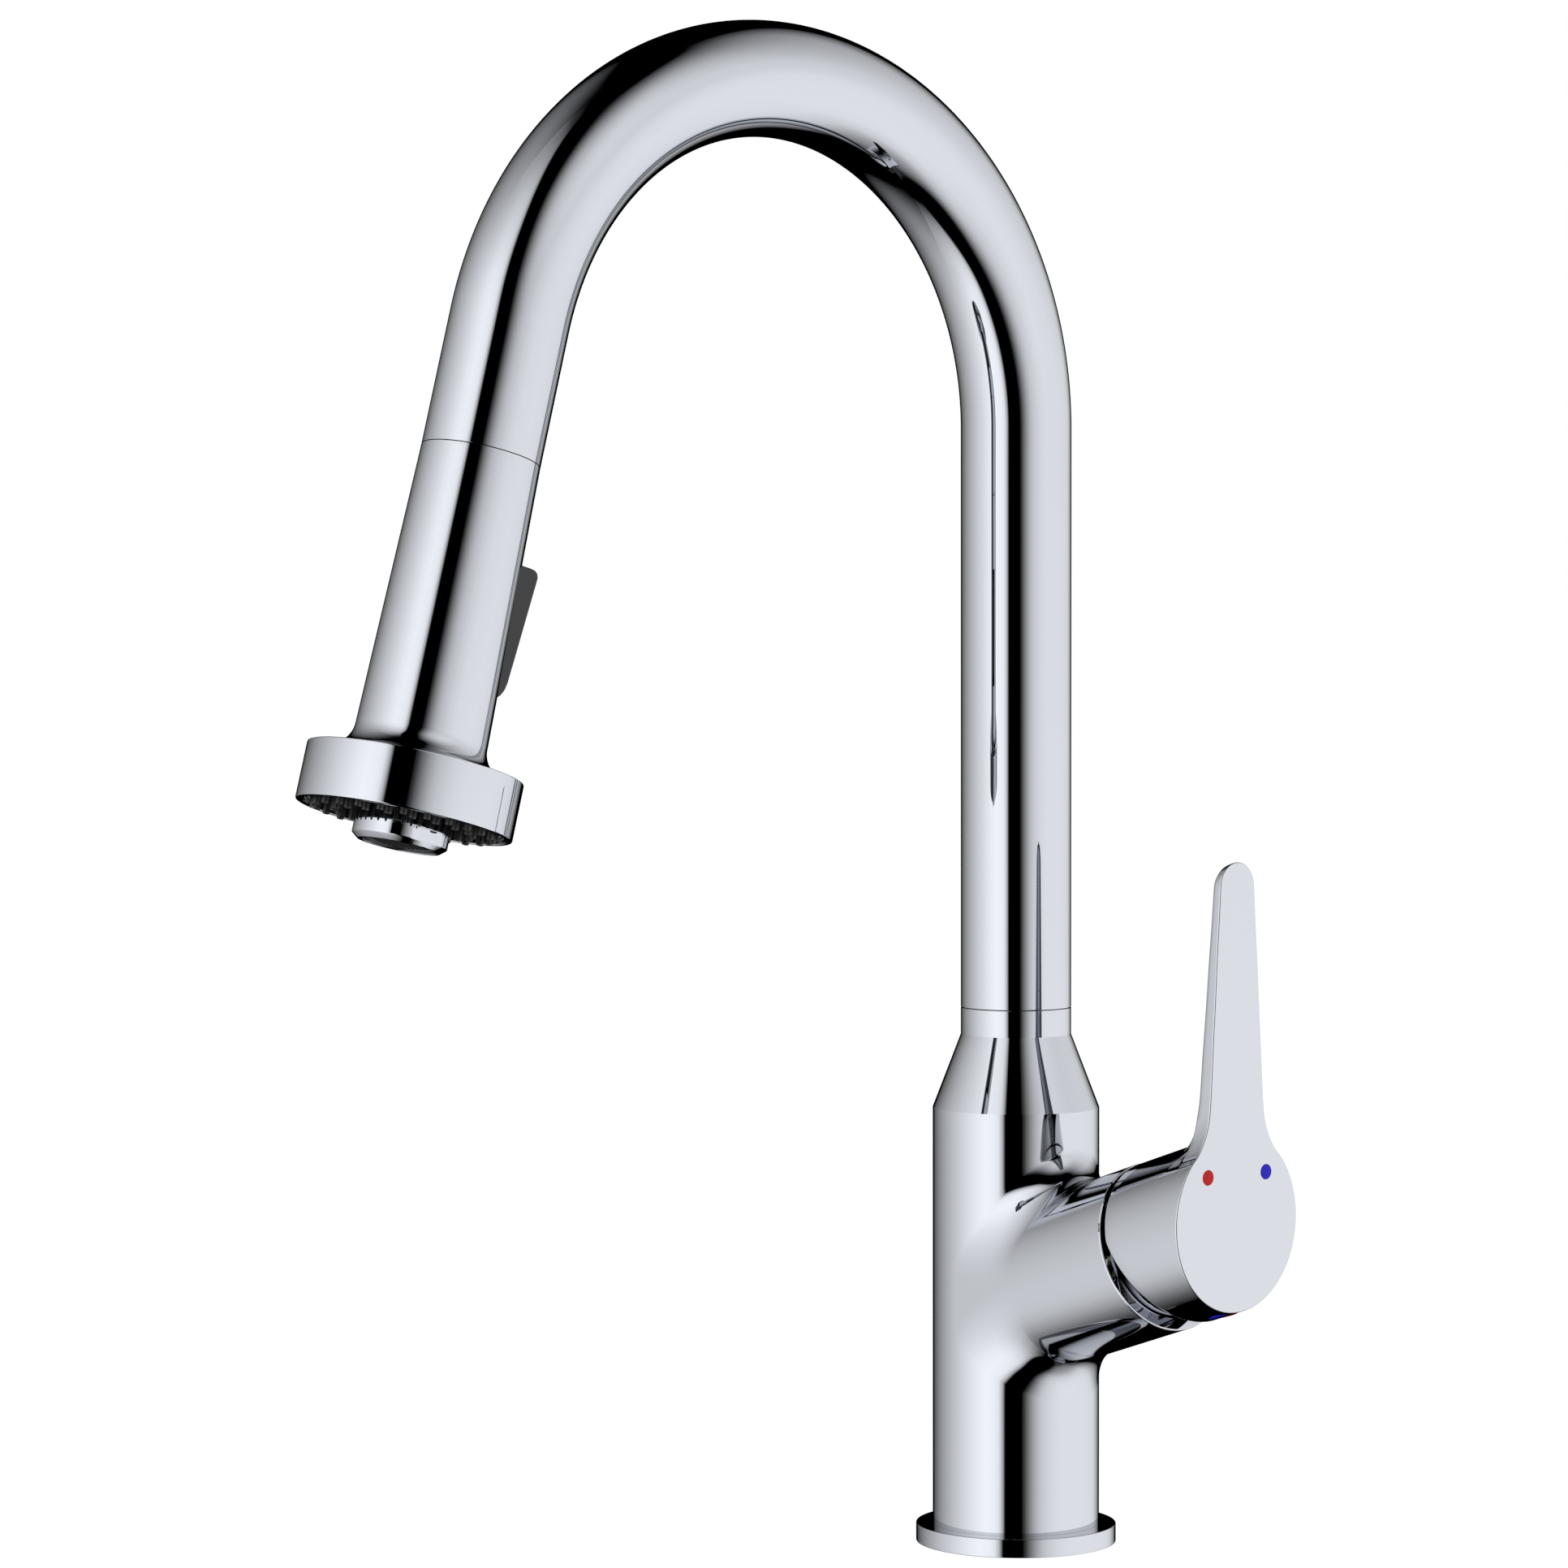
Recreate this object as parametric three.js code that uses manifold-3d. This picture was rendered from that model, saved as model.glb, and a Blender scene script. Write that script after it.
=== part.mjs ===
// Pull-down kitchen faucet: a single-lever mixer with a swivelling arched spout and a spray wand
// that draws out of it on a hose. Millimetres, +Z up. The origin is the middle of the deck flange's
// underside; the spout reaches towards -Y and the handle stands on the +X side.
import * as THREE from "three";
import { mergeVertices } from "three/addons/utils/BufferGeometryUtils.js";
import Module from "manifold-3d";

const wasm = await Module();
wasm.setup();

// ---- driving dimensions ----
const GAP = 0.3; // left between pieces that touch
const FLANGE_RADIUS = 25.4;
const FLANGE_THICKNESS = 4.7;
const FLANGE_BORE = 16.6;
const GASKET = { bore: 18.8, radius: 23.3, thickness: 1.3 };
const BODY_RADIUS = 21.1;
const CONE_BOTTOM = 110.7;
const CONE_TOP = 129.3;
const NECK_TOP = 136.1;
const SPIGOT_RADIUS = 10;
const SPIGOT_TOP = 158.5;

const TUBE_RADIUS = 14;
const TUBE_BORE = 12.5;
const RISER_TOP = 282.44; // where the arch starts
const ARCH_RADIUS = 82.54; // of the tube's centreline
const ARCH_SWEEP = THREE.MathUtils.degToRad(164.85);
const LEG_LENGTH = 32.7; // straight end of the tube, past the arch
const HOSE_RADIUS = 5.4;

const BRANCH_HEIGHT = 62.53; // where the branch's axis crosses the body's
const BRANCH_RISE = THREE.MathUtils.degToRad(18.45);
const BRANCH_RADIUS = 21.2;
const BRANCH_END = 55.3; // along the branch's axis, as are all the cartridge's places
const CHAMBER_RADIUS = 17.8;
const CHAMBER_FLOOR = 20;
const STEM_PIVOT = 41;
const STEM_TIP = 35.5;
const BONNET_SPHERE = 23.2; // about the stem's pivot, so that the tilting hub clears it

const HUB_RADIUS = 21;
const HUB_BORE = 18.6;
const HUB_START = 56.9;
const HUB_RELIEF = 0.3; // slope of the hub's lower rim, which swings in as the lever tilts
const HUB_RELIEF_FROM = 2.5; // above the hub's axis
const FACE_X = 77.5; // the handle's flat upright face
const LEVER_TOP = 175.8;
const LEVER_TIP_RADIUS = 5.9;
const SCREW_PLACE = 70;
const DOT_RADIUS = 1.9;
const DOT_SPREAD = 10.1;
const DOT_HEIGHT = 99.8;

const SHANK_RADIUS = 16.2;
const SHANK_BORE = 14.2;
const SHANK_BOTTOM = -58;
const SHANK_SEAT = 17; // top of the body's foot recess
const WASHER_RADIUS = 24;
const RUBBER_THICKNESS = 3;
const STEEL_THICKNESS = 2;
const NUT_HEIGHT = 9;
const NUT_RADIUS = 26; // across its corners, halved
const DECK_GAP = 30; // thickest deck that the mounting stack is drawn for
const SOCKET_CIRCLE = 10.3;
const SOCKET_RADIUS = 3.6;
const SOCKET_TOP = 27;
const PASSAGE_RADIUS = 2.8;

const WAND_START = 33.1; // along the wand's axis from the arch's end, as are all its places
const WAND_TOP_RADIUS = 14;
const FLARE_START_RADIUS = 15.4;
const FLARE_FILLET = 6.3;
const HEAD_TOP = 105.66;
const HEAD_RIM = 119.27;
const HEAD_RADIUS = 25.25;
const HEAD_BORE = 23.8;
const NOZZLE_TIP = 120.2;
const NOZZLE_RINGS = [{ radius: 16.2, count: 18 }, { radius: 20.8, count: 24 }];
const TOGGLE_PIVOT = { y: -8.4, z: 71 };
const TOGGLE_HALF_WIDTH = 6.5;
const PLUNGER_PLACE = 62;

const FINISHES = {
  chrome: { color: 0xd9dde2, roughness: 0.06, metalness: 1 },
  brass: { color: 0xb08d4a, roughness: 0.35, metalness: 1 },
  steel: { color: 0xb9bcc0, roughness: 0.3, metalness: 1 },
  rubber: { color: 0x1c1c1e, roughness: 0.85, metalness: 0 },
  silicone: { color: 0x2a2b2e, roughness: 0.7, metalness: 0 },
  darkPlastic: { color: 0x3b3d3f, roughness: 0.5, metalness: 0 },
  whitePlastic: { color: 0xdedbd2, roughness: 0.45, metalness: 0 },
  ceramic: { color: 0xf0efe9, roughness: 0.25, metalness: 0 },
  braid: { color: 0x55585c, roughness: 0.6, metalness: 0 },
  hotRed: { color: 0xc82323, roughness: 0.3, metalness: 0 },
  coldBlue: { color: 0x1f1fc4, roughness: 0.3, metalness: 0 },
};

// ---- closed meshes and booleans ----
function signedVolume(position, index) {
  const [a, b, c] = [new THREE.Vector3(), new THREE.Vector3(), new THREE.Vector3()];
  let total = 0;
  for (let i = 0; i < index.length; i += 3) {
    a.fromBufferAttribute(position, index[i]);
    b.fromBufferAttribute(position, index[i + 1]);
    c.fromBufferAttribute(position, index[i + 2]);
    total += a.dot(b.cross(c)) / 6;
  }
  return total;
}

function closed(geometry) {
  const bare = geometry.clone();
  bare.deleteAttribute("normal");
  bare.deleteAttribute("uv");
  const merged = mergeVertices(bare, 1e-4);
  const old = merged.getIndex().array;
  const kept = [];
  for (let i = 0; i < old.length; i += 3) {
    const [a, b, c] = [old[i], old[i + 1], old[i + 2]];
    if (a !== b && b !== c && c !== a) kept.push(a, b, c);
  }
  if (signedVolume(merged.getAttribute("position"), kept) < 0) kept.reverse();
  merged.setIndex(kept);
  return merged;
}

function solid(geometry) {
  const mesh = closed(geometry);
  const vertProperties = new Float32Array(mesh.getAttribute("position").array);
  const triVerts = new Uint32Array(mesh.getIndex().array);
  return new wasm.Manifold(new wasm.Mesh({ numProp: 3, vertProperties, triVerts }));
}

function geometryOf(body) {
  const { vertProperties, triVerts } = body.getMesh();
  const geometry = new THREE.BufferGeometry();
  geometry.setAttribute("position", new THREE.BufferAttribute(vertProperties, 3));
  geometry.setIndex(new THREE.BufferAttribute(triVerts, 1));
  return geometry;
}

function cut(whole, ...tools) {
  return geometryOf(tools.reduce((body, tool) => body.subtract(solid(tool)), solid(whole)));
}

function join(first, ...others) {
  return geometryOf(others.reduce((body, other) => body.add(solid(other)), solid(first)));
}

function common(first, second) {
  return geometryOf(solid(first).intersect(solid(second)));
}

// ---- shapes that many pieces share ----
function turned(outline, sides) {
  const points = outline.map(([radius, height]) => new THREE.Vector2(radius, height));
  if (points[0].x > 0) points.push(points[0].clone());
  return closed(new THREE.LatheGeometry(points, sides).rotateX(Math.PI / 2));
}

function disc(radius, low, high, sides) {
  return turned([[0, low], [radius, low], [radius, high], [0, high]], sides);
}

function ring(bore, radius, low, high, sides) {
  return turned([[bore, low], [radius, low], [radius, high], [bore, high]], sides);
}

function rod(from, to, radius, sides) {
  const [start, end] = [new THREE.Vector3(...from), new THREE.Vector3(...to)];
  const along = end.clone().sub(start);
  const up = new THREE.Vector3(0, 1, 0);
  const turn = new THREE.Quaternion().setFromUnitVectors(up, along.clone().normalize());
  const middle = start.clone().lerp(end, 0.5);
  return new THREE.CylinderGeometry(radius, radius, along.length(), sides)
    .applyQuaternion(turn)
    .translate(middle.x, middle.y, middle.z);
}

function box([x0, x1], [y0, y1], [z0, z1]) {
  return new THREE.BoxGeometry(x1 - x0, y1 - y0, z1 - z0)
    .translate((x0 + x1) / 2, (y0 + y1) / 2, (z0 + z1) / 2);
}

// a shape drawn in the upright plane of two axes and pushed out along the third
const FACING_X = new THREE.Matrix4().makeBasis(
  new THREE.Vector3(0, 1, 0), new THREE.Vector3(0, 0, 1), new THREE.Vector3(1, 0, 0));
const FACING_Y = new THREE.Matrix4().makeBasis(
  new THREE.Vector3(0, 0, 1), new THREE.Vector3(1, 0, 0), new THREE.Vector3(0, 1, 0));

function pushed(shape, depth, basis, sides) {
  return new THREE.ExtrudeGeometry(shape, { depth, bevelEnabled: false, curveSegments: sides })
    .applyMatrix4(basis);
}

function arcPoints(radius, height, size, from, to, steps) {
  return Array.from({ length: steps + 1 }, (_, i) => {
    const angle = from + ((to - from) * i) / steps;
    return [radius + size * Math.cos(angle), height + size * Math.sin(angle)];
  });
}

// ---- frames ----
const branchFrame = new THREE.Group();
branchFrame.position.z = BRANCH_HEIGHT;
branchFrame.rotation.y = Math.PI / 2 - BRANCH_RISE; // its z runs out along the branch, its x down
branchFrame.updateMatrix();

const wandFrame = new THREE.Group();
wandFrame.position.y = -ARCH_RADIUS + ARCH_RADIUS * Math.cos(ARCH_SWEEP);
wandFrame.position.z = RISER_TOP + ARCH_RADIUS * Math.sin(ARCH_SWEEP);
wandFrame.rotation.x = ARCH_SWEEP; // its z runs down the wand, its -y faces the riser

function inBranch(geometry) {
  return geometry.applyMatrix4(branchFrame.matrix);
}

function branchPoint(along, up, side) {
  return new THREE.Vector3(-up, side, along).applyMatrix4(branchFrame.matrix).toArray();
}

// ---- deck fixing ----
function deckFlange() {
  const inner = GASKET.bore - GAP;
  const outer = GASKET.radius + GAP;
  const groove = GASKET.thickness + GAP;
  return turned([[FLANGE_BORE, 0], [inner, 0], [inner, groove], [outer, groove], [outer, 0],
    [FLANGE_RADIUS, 0], [FLANGE_RADIUS, FLANGE_THICKNESS], [FLANGE_BORE, FLANGE_THICKNESS]], 32);
}

function washer(top, thickness) {
  return ring(SHANK_RADIUS + GAP, WASHER_RADIUS, top - thickness, top, 24);
}

function hexagon(radius, low, high) {
  return new THREE.CylinderGeometry(radius, radius, high - low, 6)
    .rotateX(Math.PI / 2)
    .translate(0, 0, (low + high) / 2);
}

function mountingNut(top) {
  const bottom = top - NUT_HEIGHT;
  return cut(hexagon(NUT_RADIUS, bottom, top), disc(SHANK_RADIUS + GAP, bottom - 1, top + 1, 24));
}

// ---- the cast body ----
const INLET_ANGLE = Math.PI / 3; // of each inlet socket from the outlet socket
const PORT_LOW = -5; // inlet ports below the branch's axis, outlet port above it
const PORT_SIDE = 6.5;
const PORT_HIGH = 6;
const SPIGOT_GROOVE = { radius: 9.2, low: 155.6, high: 157.2 };
const HOSE_WAY = { foot: 6, body: 8.5, spigot: 7.2 };

function waterWays() {
  const feet = [INLET_ANGLE, -INLET_ANGLE, 0].map((angle) =>
    [SOCKET_CIRCLE * Math.cos(angle), SOCKET_CIRCLE * Math.sin(angle)]);
  const ports = [
    branchPoint(CHAMBER_FLOOR + 0.5, PORT_LOW, PORT_SIDE),
    branchPoint(CHAMBER_FLOOR + 0.5, PORT_LOW, -PORT_SIDE),
    branchPoint(CHAMBER_FLOOR + 0.5, PORT_HIGH, 0),
  ];
  return feet.flatMap(([x, y], i) => [
    disc(SOCKET_RADIUS, SHANK_SEAT - 1, SOCKET_TOP, 14).translate(x, y, 0),
    rod([x, y, SOCKET_TOP - 1], ports[i], PASSAGE_RADIUS, 10),
  ]);
}

function mainBody() {
  const foot = FLANGE_THICKNESS + GAP;
  const groove = SPIGOT_GROOVE;
  const outside = turned([[0, foot], [BODY_RADIUS, foot], [BODY_RADIUS, CONE_BOTTOM],
    [TUBE_RADIUS, CONE_TOP], [TUBE_RADIUS, NECK_TOP], [SPIGOT_RADIUS, NECK_TOP],
    [SPIGOT_RADIUS, groove.low], [groove.radius, groove.low], [groove.radius, groove.high],
    [SPIGOT_RADIUS, groove.high], [SPIGOT_RADIUS, SPIGOT_TOP], [0, SPIGOT_TOP]], 32);
  const branch = inBranch(disc(BRANCH_RADIUS, 0, BRANCH_END, 32));
  // the hose's way up the middle, widened above the cartridge where the casting is cored out
  const recess = SHANK_RADIUS + GAP;
  const way = HOSE_WAY;
  const hoseWay = turned([[0, foot - 1], [recess, foot - 1], [recess, SHANK_SEAT],
    [way.foot, SHANK_SEAT], [way.foot, 44], [way.body, 44], [way.body, 92], [17, 92],
    [17, 107.5], [way.body, 127], [way.spigot, 127], [way.spigot, SPIGOT_TOP + 1],
    [0, SPIGOT_TOP + 1]], 20);
  const chamber = inBranch(disc(CHAMBER_RADIUS, CHAMBER_FLOOR, BRANCH_END + 1, 28));
  return cut(join(outside, branch), hoseWay, chamber, ...waterWays());
}

// ---- the ceramic cartridge, along the branch's axis ----
function ported(radius, low, high, port) {
  const holes = [[-PORT_LOW, PORT_SIDE], [-PORT_LOW, -PORT_SIDE], [-PORT_HIGH, 0]].map(([x, y]) =>
    disc(port, low - 1, high + 1, 10).translate(x, y, 0));
  return cut(disc(radius, low, high, 24), ...holes);
}

function cartridgeHousing() {
  return turned([[15, 25.5], [17.4, 25.5], [17.4, 46.5], [12, 46.5], [12, 45.3], [15, 45.3]], 28);
}

function discCarrier() {
  return cut(disc(10, 32.4, 36.4, 20), disc(2.9, 33, 37, 10));
}

function stemCarrier() {
  const slot = box([-8.5, 8.5], [-4.8, 4.8], [36, 46]);
  const pinHole = rod([0, -16, STEM_PIVOT], [0, 16, STEM_PIVOT], 1.4, 10);
  return cut(disc(14.6, 36.8, 45, 24), slot, pinHole);
}

function cartridgeStem() {
  const tip = new THREE.SphereGeometry(2.3, 10, 8).rotateX(Math.PI / 2).translate(0, 0, STEM_TIP);
  const arm = disc(1.9, STEM_TIP, 39, 10);
  const barrel = disc(4.4, 38.5, 50.5, 16);
  const square = box([-3.9, 3.9], [-3.9, 3.9], [50, 74]);
  const pinHole = rod([0, -6, STEM_PIVOT], [0, 6, STEM_PIVOT], 1.4, 10);
  return cut(join(tip, arm, barrel, square), pinHole);
}

function cartridgeNut() {
  const slots = [0, 1].map((i) =>
    box([-18, 18], [-2, 2], [51.5, 54]).rotateZ((i * Math.PI) / 2));
  return cut(ring(12, 17.5, 46.8, 53.4, 28), ...slots);
}

function bonnetRing() {
  const start = Math.asin(14.6 / BONNET_SPHERE);
  const end = Math.asin(16.8 / BONNET_SPHERE);
  const dome = arcPoints(0, STEM_PIVOT, BONNET_SPHERE, start, end, 3);
  return turned([[15.6, 53.7], [17.5, 53.7], [17.5, 55.6], ...dome, [15.2, 57.3]], 28);
}

// ---- the handle ----
function hubOutline(radius, start, face) {
  const body = inBranch(disc(radius, start, 95, 36));
  return cut(body, box([face, face + 60], [-40, 40], [40, 160]));
}

function hubRelief() {
  const size = 60;
  return inBranch(new THREE.BoxGeometry(size, size, size)
    .translate(0, 0, -size / 2)
    .rotateY(-Math.atan(HUB_RELIEF))
    .translate(-HUB_RELIEF_FROM, 0, HUB_START));
}

function leverFront() {
  const tip = LEVER_TOP - LEVER_TIP_RADIUS;
  const front = new THREE.Shape();
  front.moveTo(15.3, 90);
  front.lineTo(15.3, 103.2);
  front.quadraticCurveTo(10, 108.6, 9.2, 118.2);
  front.lineTo(LEVER_TIP_RADIUS, tip);
  front.absarc(0, tip, LEVER_TIP_RADIUS, 0, Math.PI, false);
  front.lineTo(-9.2, 118.2);
  front.quadraticCurveTo(-10, 108.6, -15.3, 103.2);
  front.lineTo(-15.3, 90);
  return pushed(front, 30, FACING_X, 6).translate(FACE_X - 30, 0, 0);
}

function leverSide() {
  const side = new THREE.Shape();
  side.moveTo(90, FACE_X);
  side.lineTo(LEVER_TOP + 2, FACE_X);
  side.lineTo(LEVER_TOP + 2, FACE_X - 2.85);
  side.lineTo(117, FACE_X - 4.6);
  side.quadraticCurveTo(108.9, FACE_X - 5, 106.4, FACE_X - 12.5);
  side.lineTo(100, FACE_X - 12.5);
  return pushed(side, 40, FACING_Y, 5).translate(0, -20, 0);
}

function handle() {
  const hollow = cut(hubOutline(HUB_BORE, HUB_START - 1, FACE_X - 5.2),
    inBranch(disc(8.5, 63.5, 96, 20)));
  const socket = inBranch(box([-4.1, 4.1], [-4.1, 4.1], [60, 74.3]));
  const screwHole = inBranch(rod([3, 0, SCREW_PLACE], [19, 0, SCREW_PLACE], 2.7, 10));
  const capHole = inBranch(rod([18.4, 0, SCREW_PLACE], [23, 0, SCREW_PLACE], 3.9, 16));
  const dots = [-1, 1].map((side) => rod([FACE_X - 1.1, side * DOT_SPREAD, DOT_HEIGHT],
    [FACE_X + 1, side * DOT_SPREAD, DOT_HEIGHT], DOT_RADIUS + 0.15, 16));
  const outside = join(hubOutline(HUB_RADIUS, HUB_START, FACE_X), common(leverFront(), leverSide()));
  return cut(outside, hollow, hubRelief(), socket, screwHole, capHole, ...dots);
}

function indexDot(side) {
  const place = [side * DOT_SPREAD, DOT_HEIGHT];
  return rod([FACE_X - 0.8, ...place], [FACE_X, ...place], DOT_RADIUS, 16);
}

function capHalf(side) {
  const cap = rod([18.8, 0, SCREW_PLACE], [20.6, 0, SCREW_PLACE], 3.6, 16);
  return cut(cap, box([15, 25], side > 0 ? [-5, 0.15] : [-0.15, 5], [60, 80]));
}

// ---- the spout ----
class SpoutLine extends THREE.Curve {
  constructor(low, leg) {
    super();
    this.low = low;
    this.riser = RISER_TOP - low;
    this.arch = ARCH_RADIUS * ARCH_SWEEP;
    this.total = this.riser + this.arch + leg;
  }

  getPoint(t, target = new THREE.Vector3()) {
    const run = t * this.total;
    if (run <= this.riser) return target.set(0, 0, this.low + run);
    const turn = Math.min((run - this.riser) / ARCH_RADIUS, ARCH_SWEEP);
    const past = Math.max(run - this.riser - this.arch, 0);
    return target.set(0,
      ARCH_RADIUS * (Math.cos(turn) - 1) - past * Math.sin(turn),
      RISER_TOP + ARCH_RADIUS * Math.sin(turn) + past * Math.cos(turn));
  }
}

function alongSpout(radius, bore, line, steps, sides) {
  const section = new THREE.Shape();
  section.absarc(0, 0, radius, 0, 2 * Math.PI, false);
  if (bore > 0) section.holes.push(new THREE.Path().absarc(0, 0, bore, 0, 2 * Math.PI, true));
  return new THREE.ExtrudeGeometry(section, { steps, extrudePath: line, curveSegments: sides / 2 });
}

// ---- the wand, along its own axis ----
function wandShell() {
  const flare = arcPoints(FLARE_START_RADIUS + FLARE_FILLET, HEAD_TOP - FLARE_FILLET, FLARE_FILLET,
    Math.PI, Math.PI / 2, 5);
  const shell = turned([[12.3, WAND_START], [WAND_TOP_RADIUS, WAND_START], ...flare,
    [HEAD_RADIUS - 0.6, HEAD_TOP], [HEAD_RADIUS, HEAD_TOP + 0.6], [HEAD_RADIUS, HEAD_RIM - 0.3],
    [HEAD_RADIUS - 0.3, HEAD_RIM], [HEAD_BORE, HEAD_RIM], [HEAD_BORE, 107.2], [18, 107.2],
    [15, 103], [13.7, 98]], 28);
  return cut(shell, box([-6.9, 6.9], [-24, -8], [54, 87.9]));
}

function dockNeck() {
  return turned([[8.4, 16], [10, 16], [10, 33.4], [12, 33.4], [12, 40], [8.4, 40]], 20);
}

function hoseConnector() {
  return join(hexagon(7.6, 25.3, 37.3), disc(5.4, 37, 46.5, 14));
}

function wandCore() {
  const ears = [-1, 1].map((side) =>
    box([side > 0 ? 7.1 : -9, side > 0 ? 9 : -7.1], [-9.2, -6], [68.8, 73.2]));
  const core = cut(disc(11.6, 42, 100.4, 24), box([-13, 13], [-13, -6.2], [52, 90]));
  return cut(join(core, ...ears),
    disc(5.8, 41, 47.5, 14),
    disc(3.9, 47, 101, 12).translate(0, 1.5, 0),
    rod([0, -8, PLUNGER_PLACE], [0, 5.6, PLUNGER_PLACE], 2.8, 12),
    rod([-12, TOGGLE_PIVOT.y, TOGGLE_PIVOT.z], [12, TOGGLE_PIVOT.y, TOGGLE_PIVOT.z], 1.2, 10));
}

function toggleButton() {
  const side = new THREE.Shape();
  side.moveTo(55.2, -9);
  side.lineTo(55.2, -16.4);
  side.quadraticCurveTo(55.4, -18.4, 57.4, -18.2);
  side.lineTo(83, -15.9);
  side.quadraticCurveTo(86.3, -15.3, 87.2, -12.6);
  side.lineTo(87.2, -9);
  side.lineTo(73.6, -9);
  side.lineTo(73, -7);
  side.lineTo(69, -7);
  side.lineTo(68.4, -9);
  const width = 2 * TOGGLE_HALF_WIDTH;
  const body = new THREE.ExtrudeGeometry(side, { depth: width, bevelEnabled: false, curveSegments: 4 })
    .applyMatrix4(new THREE.Matrix4().makeBasis(
      new THREE.Vector3(0, 0, 1), new THREE.Vector3(0, 1, 0), new THREE.Vector3(-1, 0, 0)))
    .translate(TOGGLE_HALF_WIDTH, 0, 0);
  return cut(body,
    rod([-9, TOGGLE_PIVOT.y, TOGGLE_PIVOT.z], [9, TOGGLE_PIVOT.y, TOGGLE_PIVOT.z], 1.2, 10));
}

function headBody() {
  return turned([[4, 101], [11, 101], [11, 107.6], [23.4, 107.6], [23.4, 111.4], [4, 111.4]], 28);
}

function nozzlePlaces() {
  return NOZZLE_RINGS.flatMap(({ radius, count }) =>
    Array.from({ length: count }, (_, i) => {
      const angle = (2 * Math.PI * (i + 0.5)) / count;
      return [radius * Math.cos(angle), radius * Math.sin(angle)];
    }));
}

function nozzleMat() {
  const root = 115;
  const nozzles = nozzlePlaces().map(([x, y]) =>
    new THREE.CylinderGeometry(1.1, 0.8, NOZZLE_TIP - root, 6)
      .rotateX(-Math.PI / 2)
      .translate(x, y, (NOZZLE_TIP + root) / 2));
  return join(ring(12.3, 23.4, 113.9, 116, 28), ...nozzles);
}

function facePlate() {
  const count = 12;
  const feeds = Array.from({ length: count }, (_, i) =>
    disc(1.5, 111, 114, 6).translate(18.5, 0, 0).rotateZ((2 * Math.PI * i) / count));
  return cut(ring(12.3, 23.5, 111.7, 113.6, 28), ...feeds);
}

function aeratorHousing() {
  const shell = turned([[8.8, 112.8], [11.1, 112.8], [11.1, 124], [9.6, 125.2], [8.8, 125.2]], 28);
  const flats = [-1, 1].map((side) =>
    box([side > 0 ? 10.3 : -12, side > 0 ? 12 : -10.3], [-8, 8], [121, 126]));
  return cut(shell, ...flats);
}

// ---- the assembly ----
const faucet = new THREE.Group();
faucet.add(branchFrame, wandFrame);

function place(parent, name, geometry, finish) {
  const mesh = new THREE.Mesh(closed(geometry), new THREE.MeshStandardMaterial(FINISHES[finish]));
  mesh.name = name;
  parent.add(mesh);
}

const rubberTop = -DECK_GAP;
const steelTop = rubberTop - RUBBER_THICKNESS - GAP;
const nutTop = steelTop - STEEL_THICKNESS - GAP;
place(faucet, "deck_flange", deckFlange(), "chrome");
place(faucet, "deck_gasket", ring(GASKET.bore, GASKET.radius, 0, GASKET.thickness, 24), "rubber");
place(faucet, "main_body", mainBody(), "chrome");
place(faucet, "mounting_shank",
  ring(SHANK_BORE, SHANK_RADIUS, SHANK_BOTTOM, SHANK_SEAT - GAP, 24), "brass");
place(faucet, "rubber_washer", washer(rubberTop, RUBBER_THICKNESS), "rubber");
place(faucet, "steel_washer", washer(steelTop, STEEL_THICKNESS), "steel");
place(faucet, "mounting_nut", mountingNut(nutTop), "brass");
place(faucet, "spout_snap_ring",
  ring(SPIGOT_GROOVE.radius + GAP, 11.8, SPIGOT_GROOVE.low + GAP, SPIGOT_GROOVE.high - GAP, 20),
  "steel");

place(branchFrame, "cartridge_gasket", ported(14, 20.3, 21.9, 3), "rubber");
place(branchFrame, "cartridge_base", ported(17.4, 22.2, 25.2, 2.8), "whitePlastic");
place(branchFrame, "fixed_ceramic_disc", ported(13.8, 25.5, 28.9, 2.6), "ceramic");
place(branchFrame, "cartridge_housing", cartridgeHousing(), "whitePlastic");
place(branchFrame, "cartridge_nut", cartridgeNut(), "brass");
place(branchFrame, "bonnet_ring", bonnetRing(), "chrome");
place(branchFrame, "moving_ceramic_disc",
  cut(disc(10.2, 29.2, 32.1, 20), disc(6, 28, 30.6, 14)), "ceramic");
place(branchFrame, "disc_carrier", discCarrier(), "darkPlastic");
place(branchFrame, "stem_carrier", stemCarrier(), "darkPlastic");
place(branchFrame, "stem_pin", rod([0, -14, STEM_PIVOT], [0, 14, STEM_PIVOT], 1.1, 10), "steel");
place(branchFrame, "cartridge_stem", cartridgeStem(), "brass");

place(faucet, "handle", handle(), "chrome");
place(branchFrame, "handle_set_screw",
  rod([4.3, 0, SCREW_PLACE], [11, 0, SCREW_PLACE], 2.4, 10), "steel");
place(faucet, "hot_dot", indexDot(-1), "hotRed");
place(faucet, "cold_dot", indexDot(1), "coldBlue");
place(branchFrame, "screw_cap_hot", capHalf(1), "hotRed");
place(branchFrame, "screw_cap_cold", capHalf(-1), "coldBlue");

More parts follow.
